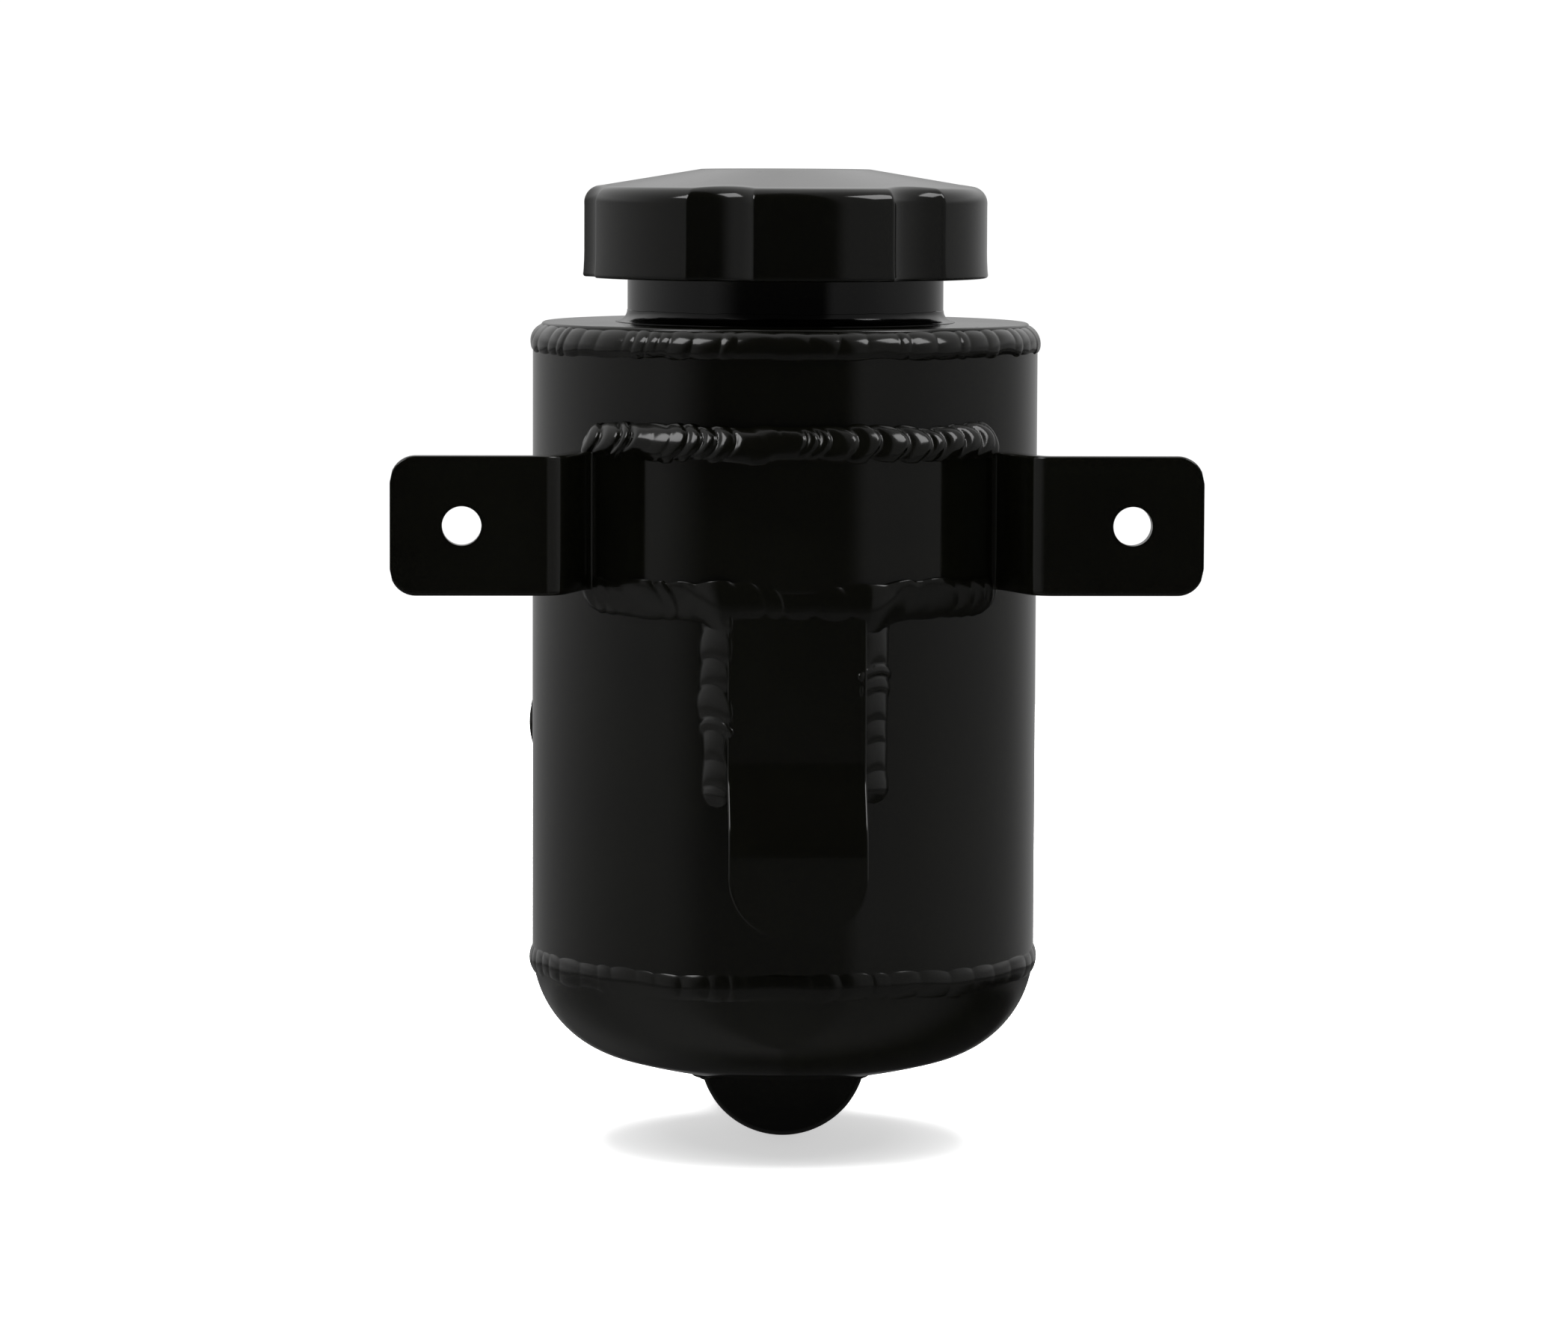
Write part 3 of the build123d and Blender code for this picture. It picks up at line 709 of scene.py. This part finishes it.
def make_cap():
    """Outside from the middle of the top down, round the rim, and up inside."""
    angle = np.linspace(0, 2 * np.pi, 1080, endpoint=False)[:, None]
    lobe = lobed_radius(angle)
    edge = lobe - CAP_CORNER
    flat = np.array([0, 0.5, 0.97, 1.0])[None]
    cone = np.linspace(0.02, 1, 12)[None]
    arc = np.linspace(0.04, 1, 12)[None] * (np.pi / 2 - math.atan(CAP_SLOPE)) \
        + math.atan(CAP_SLOPE)
    cone_r = CAP_FLAT_R + (edge - CAP_FLAT_R) * cone
    cone_z = cap_high[2] - (cone_r - CAP_FLAT_R) * CAP_SLOPE
    centre_z = cap_high[2] - (edge - CAP_FLAT_R) * CAP_SLOPE - CAP_CORNER
    arc_r = edge + CAP_CORNER * np.sin(arc)
    arc_z = centre_z + CAP_CORNER * np.cos(arc)
    low = cap_low[2]
    side_z = np.linspace(0.05, 0.94, 8)[None] * (low + 0.6 - centre_z) + centre_z
    flare = np.clip((low + RIM_FLARE_HEIGHT - side_z) / RIM_FLARE_HEIGHT, 0, 1)
    side_r = lobe + RIM_FLARE * flare ** 2 - 0.02
    hem = np.linspace(0, np.pi, 8)[None]
    hem_r = lobe - 0.35 + HEM_WIDTH * np.cos(hem)
    hem_z = low + HEM_HEIGHT - HEM_HEIGHT * np.sin(hem)
    full = np.ones_like(angle)
    parts_r = [flat * CAP_FLAT_R * full, cone_r, arc_r, side_r, hem_r,
               INSERT_R * full, INSERT_R * full, 0 * full]
    parts_z = [cap_high[2] + 0 * flat * full, cone_z, arc_z, side_z, hem_z * full,
               (low + 0.6) * full, cap_roof * full, cap_roof * full]
    grid = around(angle, np.concatenate(parts_r, axis=1), np.concatenate(parts_z, axis=1))
    return surface("cap_lobed", grid, wrap_rows=True, sharp=50)


dress(make_cap(), "cap_shell")

# %% [markdown]
# ## Bent flat bar
# Strap and tab are both flat bar: a rounded rectangle carried along a path.  The path is
# straight runs and bends, and the bar's width shrinks at a free end to give round corners.


# %% Flat bar
def even(path, spacing):
    """The same path with its points evenly spaced."""
    steps = np.linalg.norm(np.diff(path, axis=0), axis=1)
    path = path[np.concatenate([[True], steps > 1e-6])]
    length = np.concatenate([[0], np.cumsum(np.linalg.norm(np.diff(path, axis=0), axis=1))])
    at = np.linspace(0, length[-1], int(length[-1] / spacing) + 2)
    return np.stack([np.interp(at, length, path[:, i]) for i in range(path.shape[1])], axis=1)


def unit(vectors):
    """The same directions, one long."""
    return vectors / np.linalg.norm(vectors, axis=-1, keepdims=True)


def flat_bar(name, path, wide, thickness, half_width, edge=0.55):
    """A bar whose section is a rounded rectangle, square to its path and to wide.

    half_width gives half the bar's width at each point of the path.  The section is one
    rounded corner, turned by quarters and moved out to the bar's four corners.  A point
    stands on the flat just before and after each round, so that the flats shade flat."""
    along = unit(np.gradient(path, axis=0))
    out = np.cross(along, wide)
    half = thickness / 2
    corner = np.linspace(0, np.pi / 2, 6)
    lead = 0.35 / edge
    first_side = np.concatenate([[1.0], np.cos(corner), [-lead]])
    first_rise = np.concatenate([[-lead], np.sin(corner), [1.0]])
    quarter = np.repeat(np.arange(4), 8)
    cos, sin = np.cos(quarter * np.pi / 2), np.sin(quarter * np.pi / 2)
    side = cos * np.tile(first_side, 4) - sin * np.tile(first_rise, 4)
    rise = sin * np.tile(first_side, 4) + cos * np.tile(first_rise, 4)
    plus_w = np.repeat([1, -1, -1, 1], 8)
    plus_t = np.repeat([1, 1, -1, -1], 8)
    across = plus_w * (half_width[:, None] - edge) + edge * side
    through = plus_t * (half - edge) + edge * rise + 0 * half_width[:, None]
    grid = path[:, None] + across[:, :, None] * wide + through[:, :, None] * out[:, None]
    ends = [path[:1, None] + 0 * grid[:1], grid, path[-1:, None] + 0 * grid[:1]]
    return surface(name, np.concatenate(ends), wrap_columns=True, sharp=40)


def free_end(distance, half, radius):
    """Half width near an end with rounded corners, by distance from that end."""
    inside = np.clip(radius - distance, 0, radius)
    return half - radius + np.sqrt(radius ** 2 - inside ** 2)


# %% [markdown]
# ## Mounting strap
# One bar follows the back of the tank, folds back sharply on each side and stands out to the
# wall, where its ears lie flat.  Its bends are tight, as a press brake leaves them.

# %% Strap
STRAP_T = WALL
STRAP_HALF = (strap_high[2] - strap_low[2]) / 2
EAR_TIP = strap_high[0]
WRAP = math.radians(44.0)
LEG_SLOPE = math.tan(math.radians(19.0))
MIDDLE_R = BODY_R + STRAP_T / 2
BOLT_SPACING = MOUNTS["bracket_bolts"]["dims"]["spacing_x_mm"]
BOLT_R = MOUNTS["bracket_bolts"]["dims"]["hole_r_mm"]
FOLD_RUN = 5.2  # straight on past the tank before the bar folds back
FOLD_R = 2.8
EAR_BEND_R = 3.6
EAR_CORNER = 4.7


def make_strap():
    """Ear, leg, fold, body, fold, leg, ear: half the path is drawn and then mirrored."""
    ear_y = -AXIS[1] + STRAP_T / 2
    leave = np.array([math.sin(WRAP), -math.cos(WRAP)]) * MIDDLE_R
    fold = leave + FOLD_RUN * np.array([math.cos(WRAP), math.sin(WRAP)])
    bend_x = fold[0] + (fold[1] - ear_y) * LEG_SLOPE
    outer = rounded([leave, fold, (bend_x, ear_y), (EAR_TIP, ear_y)],
                    [0, FOLD_R, EAR_BEND_R, 0], 14, 0)
    turn = np.linspace(0, WRAP, 60)
    around = np.stack([np.sin(turn), -np.cos(turn)], axis=1) * MIDDLE_R
    half = np.concatenate([around, outer[1:]])
    path = even(np.concatenate([half[::-1] * (-1, 1), half[1:]]), 0.45)
    path = np.concatenate([path, np.zeros((len(path), 1))], axis=1)
    tip = EAR_TIP - np.abs(path[:, 0])
    strap = flat_bar("strap_bent", path, np.array([0, 0, 1.0]), STRAP_T,
                     free_end(tip, STRAP_HALF, EAR_CORNER))
    for side in (-1, 1):
        x = side * BOLT_SPACING / 2
        strap = cut(strap, rod("cutter", BOLT_R, (x, -AXIS[1] - 9, 0), (x, -AXIS[1] + 9, 0)))
    return strap


dress(make_strap(), "bracket_strap")

# %% [markdown]
# ## Hook tab
# The tab lies on the tank where it is welded, then steps off it so that its tongue can slip
# behind a panel's edge.

# %% Tab
TAB_SLACK = 0.1  # between the tank and the welded part of the tab
TAB_STAND_OFF = 8.0  # between the tank and the tongue
TAB_BEND_TOP = -46.0
TAB_BEND_LOW = -57.0
TAB_BEND_R = 8.0
TAB_CORNER = 11.0
TAB_EDGE = 0.4
TAB_FACE = -(BODY_R + TAB_SLACK + STRAP_T)


def make_tab():
    """The same bar, set off by two gentle bends, with a nearly round end."""
    near = -(BODY_R + TAB_SLACK + STRAP_T / 2)
    far = -(BODY_R + TAB_STAND_OFF + STRAP_T / 2)
    route = rounded([(near, -STRAP_HALF - 0.2), (near, TAB_BEND_TOP), (far, TAB_BEND_LOW),
                     (far, tab_low[2])], [0, TAB_BEND_R, TAB_BEND_R, 0], 14, 0)
    path = even(route, 0.45)
    path = np.concatenate([np.zeros((len(path), 1)), path], axis=1)
    left = np.abs(path[:, 2] - tab_low[2])
    return flat_bar("tab_bent", path, np.array([1.0, 0, 0]), STRAP_T,
                    free_end(left, (tab_high[0] - tab_low[0]) / 2, TAB_CORNER), TAB_EDGE)


dress(make_tab(), "hook_tab")

# %% [markdown]
# ## Ports
# Both ports are turned bosses with a tapped hole.  The tapping is a height pattern like the
# neck's, only finer, and it starts behind a plain sealing chamfer.

# %% Ports
INLET_BORE = 6.5
INLET_TAPPED = 11.0
INLET_PITCH = 25.4 / 18
INLET_INSIDE = BODY_R - WALL - 3.0
INLET_FACE = BODY_R + 9.4
TUBE_BORE = 5.5  # the return tube's way in, behind the inlet's thread
OUTLET_BORE = 10.35
OUTLET_TAPPED = 20.0
OUTLET_PITCH = 25.4 / 14
SEAT = 1.4  # the sealing chamfer in a port's mouth
PLAIN = 2.8  # from a port's face to where its thread starts
FEED_R = 7.0
FEED_Y = 16.0


def port(name, origin, aim, length, outer, bore, tapped, pitch, chamfer, floor):
    """A boss turned round any axis, its mouth at the far end and tapped behind the mouth.

    The outline runs along the boss's own axis.  The thread is a winding groove: it is deepest
    where height and angle, in turns of the pitch, add to a whole.  floor is the radius left
    open at the tapped hole's bottom."""
    shell = rounded([(floor, 0), (outer, 0), (outer, length), (bore + SEAT, length)],
                    [0, chamfer, chamfer, 0.15], 4)
    rows = int(tapped / pitch * 12)
    wall = np.stack([np.full(rows, bore),
                     np.linspace(length - 2 * SEAT, length - tapped, rows)], axis=1)
    outline = np.concatenate([shell, wall, [(bore, length - tapped), (floor, length - tapped)]])
    height = outline[:, 1]
    low, high = length - tapped, length - PLAIN
    cut_here = (np.abs(outline[:, 0] - bore) < 1e-6) & (height > low) & (height < high)
    angle = np.linspace(0, 1, 160, endpoint=False)[:, None]
    wave = np.abs((height / pitch - angle) % 1.0 - 0.5) * 2
    fade = np.clip((height - low) / pitch, 0, 1) * np.clip((high - height) / 0.4, 0, 1)
    radius = outline[:, 0] + np.where(cut_here, 0.6 * pitch * (1 - wave) * fade, 0)
    aim = np.array(aim, float)
    side = unit(np.cross(aim, (0, 0, 1.0)))
    flat = around(2 * np.pi * angle, radius, height)
    grid = np.array(origin, float) + flat @ np.array([side, np.cross(aim, side), aim])
    return surface(name, grid, True, True)


def make_inlet():
    """Side boss, open right through to its return tube."""
    origin = inlet_aim * INLET_INSIDE + (0, 0, inlet_z)
    return port("inlet_port_turned", origin, inlet_aim, INLET_FACE - INLET_INSIDE, INLET_R,
                INLET_BORE, INLET_TAPPED, INLET_PITCH, 0.6, TUBE_BORE)


def make_outlet():
    """Bar across the bottom, its port in front and its feed drilled down from the tank."""
    back, front = outlet_low[1] - AXIS[1], outlet_high[1] - AXIS[1]
    bar = port("outlet_bar_turned", (0, back, OUTLET_Z), (0, 1, 0), front - back, OUTLET_R,
               OUTLET_BORE, OUTLET_TAPPED, OUTLET_PITCH, 0.7, 0.0)
    drill_end = front - OUTLET_TAPPED + 0.5
    bar = cut(bar, rod("cutter", FEED_R + 1, (0, 4, OUTLET_Z), (0, drill_end, OUTLET_Z)))
    return cut(bar, rod("cutter", FEED_R, (0, FEED_Y, OUTLET_Z), (0, FEED_Y, OUTLET_Z + 40)))


dress(make_inlet(), "inlet_boss")
dress(make_outlet(), "outlet_boss")

# %% [markdown]
# ## Weld beads
# A hand-laid bead is a row of small puddles, each overlapping the last.  Seen from above they
# are crescents, unevenly spaced, because the welder's hand was.  So a bead here is a low arch
# carried along a path, and its height and width swell over each puddle and pinch between
# them.  The place of a point along the bead is shifted back towards the edges, which bows
# every puddle into a crescent.


# %% Bead
def slow(values, size, seed):
    """Smooth wander between about -1 and 1: a sum of three waves with random phases."""
    waves = np.random.default_rng(seed)
    total = 0
    for share, factor in ((0.5, 1.0), (0.3, 2.17), (0.2, 4.31)):
        total = total + share * np.sin(2 * np.pi * values * factor / size
                                       + waves.uniform(0, 2 * np.pi))
    return total


def bead(name, path, up, half_width, height, pitch, seed, closed=False, uneven=0.35,
         groove=0.45, bow=1.2, sink=1.2, wander=0.3, taper=3.0, calm=(), power=4.0,
         arch=0.85, belly=0.0, skew=1.0, lumpy=0.1):
    """A rippled bead of weld along a path of evenly spaced points.

    up is the way out of the joint at each point.  Across the bead an angle runs from one toe
    over the top to the other and back underneath.  A puddle's swell is one minus a power of
    the distance from its middle: the higher the power, the sharper the groove between, and
    skew moves that middle on towards the next puddle.  lumpy is how much the widths differ.
    arch is the power of the sine that makes the section: below one it is full, and towards
    two it runs out softly.  calm lists stretches, as shares of the length, where the ripples
    drown in one long puddle.  belly widens the bead towards the middle of its length."""
    random = np.random.default_rng(seed)
    steps = np.linalg.norm(np.diff(path, axis=0, append=path[:1]), axis=1)
    along = unit(np.roll(path, -1, axis=0) - np.roll(path, 1, axis=0)) if closed \
        else unit(np.gradient(path, axis=0))
    up = unit(up - np.sum(up * along, axis=1, keepdims=True) * along)
    across = np.cross(along, up)
    place = np.concatenate([[0], np.cumsum(steps)])[:len(path)][:, None]
    length = steps.sum() if closed else place[-1, 0]
    count = int(length / pitch)
    edges = np.cumsum(np.clip(random.normal(1, uneven, count), 0.55, 2.2))
    edges = np.concatenate([[0], edges]) * length / edges[-1]
    toe = np.linspace(0, 2 * np.pi, 36, endpoint=False)[None]
    lateral = np.cos(toe)
    shifted = place + bow * lateral ** 2 - bow / 2
    shifted = shifted % length if closed else np.clip(shifted, 0, length - 1e-6)
    puddle = np.clip(np.searchsorted(edges, shifted, side="right") - 1, 0, count - 1)
    share = (shifted - edges[puddle]) / (edges[puddle + 1] - edges[puddle])
    swell = 1 - np.abs(2 * share ** skew - 1) ** power
    depth = np.full(shifted.shape, groove)
    for start, end in calm:
        middle = (shifted / length - start) / (end - start)
        depth = depth * (1 - 0.88 * np.clip(1 - np.abs(2 * middle - 1), 0, 0.25) / 0.25)
    lift = random.uniform(-0.5, 1.0, count)[puddle] * 0.35
    widen = random.uniform(-1, 1, count)[puddle] * lumpy
    tall = height * (1 - depth * (1 - swell) + lift * depth * swell)
    wide = half_width * (1 - 0.5 * depth * (1 - swell) + widen * swell)
    wide = wide * (1 + belly * (1 - (2 * place / length - 1) ** 2))
    ends = 1.0
    if not closed:
        near = np.minimum(place, length - place) / taper
        ends = np.sqrt(1 - (1 - np.clip(near, 0, 1)) ** 2)
    drift = wander * slow(place, 37.0 if not closed else length / 5, seed + 1)
    over = np.where(np.sin(toe) > 0, np.abs(np.sin(toe)) ** arch * tall, np.sin(toe) * sink)
    grid = (path[:, None] + across[:, None] * (lateral * wide * ends + drift)[:, :, None]
            + up[:, None] * (over * ends)[:, :, None])
    return surface(name, grid, wrap_rows=closed, wrap_columns=True, sharp=60)


def ring(radius, height, spacing=0.25):
    """Evenly spaced points of a level circle, and the outward direction at each."""
    count = int(2 * math.pi * radius / spacing)
    angle = np.linspace(0, 2 * np.pi, count, endpoint=False)
    outward = np.stack([np.cos(angle), np.sin(angle), 0 * angle], axis=1)
    return outward * radius + (0, 0, height), outward


# %% [markdown]
# ## Welds round the tank
# The lid is joined by an outside corner weld, so its bead leans half outward and half up.  The
# bottom head's seam lies on the tank's side and leans straight out.  The neck's foot was
# washed smooth with a torch: no puddles are left there, only a hollow quarter round, so it is
# turned rather than rippled.

# %% Ring welds
UP = np.array([0, 0, 1.0])


def make_rings():
    """The lid's corner bead and the bottom head's seam bead."""
    path, out = ring(BODY_R - 1.8, PLATE_TOP - 2.9)
    lid = bead("weld_lid", path, out * 0.8 + UP * 0.6, half_width=3.2, height=2.0, pitch=4.2,
               seed=11, closed=True, bow=0.8, groove=0.08, wander=0.1, power=2.4, uneven=0.5,
               arch=1.25)
    path, out = ring(BODY_R - 0.5, SEAM_Z - 1.5)
    seam = bead("weld_seam", path, out, half_width=2.9, height=1.05, pitch=4.6, seed=12,
                closed=True, bow=1.0, groove=0.16, sink=1.0, wander=0.45, power=2.4, arch=1.6)
    dress(lid, "top_seam_weld")
    dress(seam, "bottom_seam_weld")


def make_neck_fillet():
    """A smooth hollow fillet at the neck's foot: a quarter round that wanders slightly."""
    angle = np.linspace(0, 2 * np.pi, 360, endpoint=False)[:, None]
    size = 2.15 + 0.12 * slow(angle, 2 * np.pi / 9, 13)
    turn = np.linspace(0, np.pi / 2, 14)[None]
    radius = NECK_R + 0.06 + size * (1 - np.cos(turn))
    height = PLATE_TOP + 0.08 + size * (1 - np.sin(turn))
    inner = NECK_R - 0.3 + 0 * angle
    radius = np.concatenate([inner, inner + 0.3, radius, radius[:, -1:], inner], axis=1)
    height = np.concatenate([height[:, :1], height[:, :1] + 0.06, height,
                             0 * angle + PLATE_TOP - 0.2, 0 * angle + PLATE_TOP - 0.2], axis=1)
    fillet = surface("weld_neck", around(angle, radius, height), True, True)
    dress(fillet, "neck_weld")


make_rings()
make_neck_fillet()

# %% [markdown]
# ## Welds along the strap
# The two beads along the strap are the boldest on the tank, and each has its own character:
# the upper one stands proud, with crisp crescents and two long smooth stretches, and the
# lower one is wide, soft and runs on over the tab.  One function lays both, and the numbers
# that are the welder's habits are given with each.


# %% Strap welds
BEAD_START = math.radians(-51)
BEAD_END = math.radians(49)
STEP_AT = 20.0  # from the tab's middle to where the bead starts to step
STEP_RUN = 8.0
STEP_DROP = 0.7
LEVEL = 0.876  # the way out off the tab: so much level
LEAN = 0.48  # and so much up or down


def make_strap_bead(name, node, up, reach, over_tab, **habits):
    """A fat fillet along one edge of the strap: from the bar's face down to the tank.

    up is 1 above the strap and -1 below, and reach is how far the bead's middle lies past
    the strap's edge.  over_tab is 1 for the lower bead: where the tab lies under it, the bead
    steps forward onto the tab's flat face and a little further down, and its way out is
    level."""
    turn = np.linspace(BEAD_START, BEAD_END, 400)
    radius = BODY_R + 1.65
    x, y = radius * np.sin(turn), -radius * np.cos(turn)
    near = np.clip((STEP_AT - np.abs(x)) / STEP_RUN, 0, 1)
    onto = over_tab * near ** 2 * (3 - 2 * near)
    y = y + onto * (-(BODY_R + STRAP_T - 0.9) - y)
    z = up * (STRAP_HALF + reach + STEP_DROP * onto)
    path = even(np.stack([x, y, z], axis=1), 0.25)
    onto = np.interp(path[:, 0], x, onto)[:, None]
    out = (unit(path * (1, 1, 0)) * (LEVEL + (1 - LEVEL) * onto)
           + UP * up * LEAN * (1 - onto))
    piece = bead(name, path, out, sink=2.0, **habits)
    dress(piece, node)


make_strap_bead("weld_strap_upper", "strap_weld_upper", 1, 2.0, 0, half_width=3.7, height=1.9,
                pitch=3.7, seed=21, groove=0.3, bow=2.6, uneven=0.22,
                calm=((0.14, 0.27), (0.36, 0.52)), arch=1.15, skew=1.6, lumpy=0.1, wander=0.45)
make_strap_bead("weld_strap_lower", "strap_weld_lower", -1, 1.5, 1, half_width=3.9, height=1.3,
                pitch=4.5, seed=22, groove=0.14, bow=2.2, uneven=0.4,
                calm=((0.3, 0.42), (0.65, 0.8)), wander=0.5, power=2.6, arch=1.7, belly=0.12,
                skew=1.4)

# %% [markdown]
# ## Welds down the tab
# A fillet fills the corner between two faces.  Here they are the tab's flat face and the
# tank's round wall beside it, so the bead's width follows from where its two toes are.  Both
# stop short of the bends, which leaves the tongue free to spring.


# %% Tab welds
def make_tab_bead(name, node, side, lap, toe, low, **habits):
    """A fillet down one edge of the tab: from the bar's face out to the round tank.

    side is -1 or 1.  lap is how far the bead reaches onto the bar's face, toe how far from
    the tab's middle it meets the tank, and low the height where it ends.  The path runs
    midway between the two toes, and the way out is square to the line that joins them."""
    face = np.array([side * (tab_high[0] - lap), TAB_FACE])
    foot = np.array([side * toe, -math.sqrt(BODY_R ** 2 - toe ** 2)])
    middle, span = (face + foot) / 2, np.linalg.norm(foot - face)
    z = np.arange(low, -STRAP_HALF - 1.5, 0.25)
    path = np.stack([np.full_like(z, middle[0]), np.full_like(z, middle[1]), z], axis=1)
    up = np.tile((side * abs(foot[1] - face[1]), -abs(foot[0] - face[0]), 0.0), (len(z), 1))
    piece = bead(name, path, up, half_width=span / 2, pitch=4.2, sink=2.2, power=2.6, arch=1.2,
                 **habits)
    dress(piece, node)


make_tab_bead("weld_tab_left", "tab_weld_left", -1, lap=0.6, toe=17.6, low=-51.8, height=1.0,
              seed=31, groove=0.2, uneven=0.5, wander=0.55, bow=1.6, lumpy=0.2)
make_tab_bead("weld_tab_right", "tab_weld_right", 1, lap=1.1, toe=17.2, low=-51.0, height=0.9,
              seed=32, groove=0.2, uneven=0.4, wander=0.35, bow=1.2, lumpy=0.18)

# %% [markdown]
# ## Welds round the ports
# Each port's bead follows the line where its round bar meets a round shell.  No drawing is
# needed for that line: both surfaces have formulas, so one is put into the other, and the
# bead is laid on the points that come out.


# %% Port welds
def make_inlet_bead():
    """Round the inlet where it leaves the tube: on the boss's own circle, as far out along
    its axis as the tank's round wall is there."""
    turn = np.linspace(0, 2 * np.pi, 300, endpoint=False)
    side = np.cross(UP, inlet_aim)
    sideways = (INLET_R + 0.5) * np.cos(turn)
    out = np.sqrt(BODY_R ** 2 - sideways ** 2) + 0.3
    path = (out[:, None] * inlet_aim + sideways[:, None] * side
            + ((INLET_R + 0.5) * np.sin(turn))[:, None] * UP + (0, 0, inlet_z))
    radial = np.cos(turn)[:, None] * side + np.sin(turn)[:, None] * UP
    piece = bead("weld_inlet", path, radial + inlet_aim, half_width=1.9, height=1.1, pitch=2.7,
                 seed=41, closed=True, groove=0.4, bow=0.9, sink=1.0, wander=0.15)
    dress(piece, "inlet_boss_weld")


def make_outlet_bead():
    """Round the outlet bar where it leaves the bottom head.

    A point on the bar's side has a height, the head has a radius at that height, and what is
    left of that radius beside the point's own x is how far forward the joint lies there.  A
    straight run across the bar's back end closes the loop."""
    outline = head_outline(0, 80)
    turn = np.linspace(math.radians(60), math.pi, 900)
    x, z = OUTLET_R * np.sin(turn), OUTLET_Z - OUTLET_R * np.cos(turn)
    reach = np.interp(z, outline[::-1, 1], outline[::-1, 0])
    ahead = reach ** 2 - x ** 2
    keep = ahead > 0
    x, z, turn = x[keep], z[keep], turn[keep]
    y = np.sqrt(ahead[keep])
    back = outlet_low[1] - AXIS[1]
    start = np.array([[x[0], back, z[0]]])
    side = np.concatenate([start, np.stack([x, y, z], axis=1)])
    other = side[::-1] * (-1, 1, 1)
    closing = np.linspace(other[-1], side[0], 40)[1:-1]
    path = even(np.concatenate([side, other[1:], closing, side[:1]]), 0.25)[:-1]
    radius = np.hypot(path[:, 0], path[:, 1])
    lean = np.interp(radius, outline[::-1, 0], np.gradient(outline[::-1, 1], outline[::-1, 0]))
    down = unit(np.stack([path[:, 0] / radius * lean, path[:, 1] / radius * lean,
                          -np.ones_like(radius)], axis=1))
    bar_side = unit(np.stack([path[:, 0], 0 * radius, path[:, 2] - OUTLET_Z], axis=1))
    bar_side[path[:, 1] < back + 0.5] = (0, -1, 0)
    piece = bead("weld_outlet", path, down + bar_side, half_width=2.0, height=1.2, pitch=2.8,
                 seed=42, closed=True, groove=0.35, bow=0.9, sink=1.0, wander=0.15)
    dress(piece, "outlet_boss_weld")


make_inlet_bead()
make_outlet_bead()
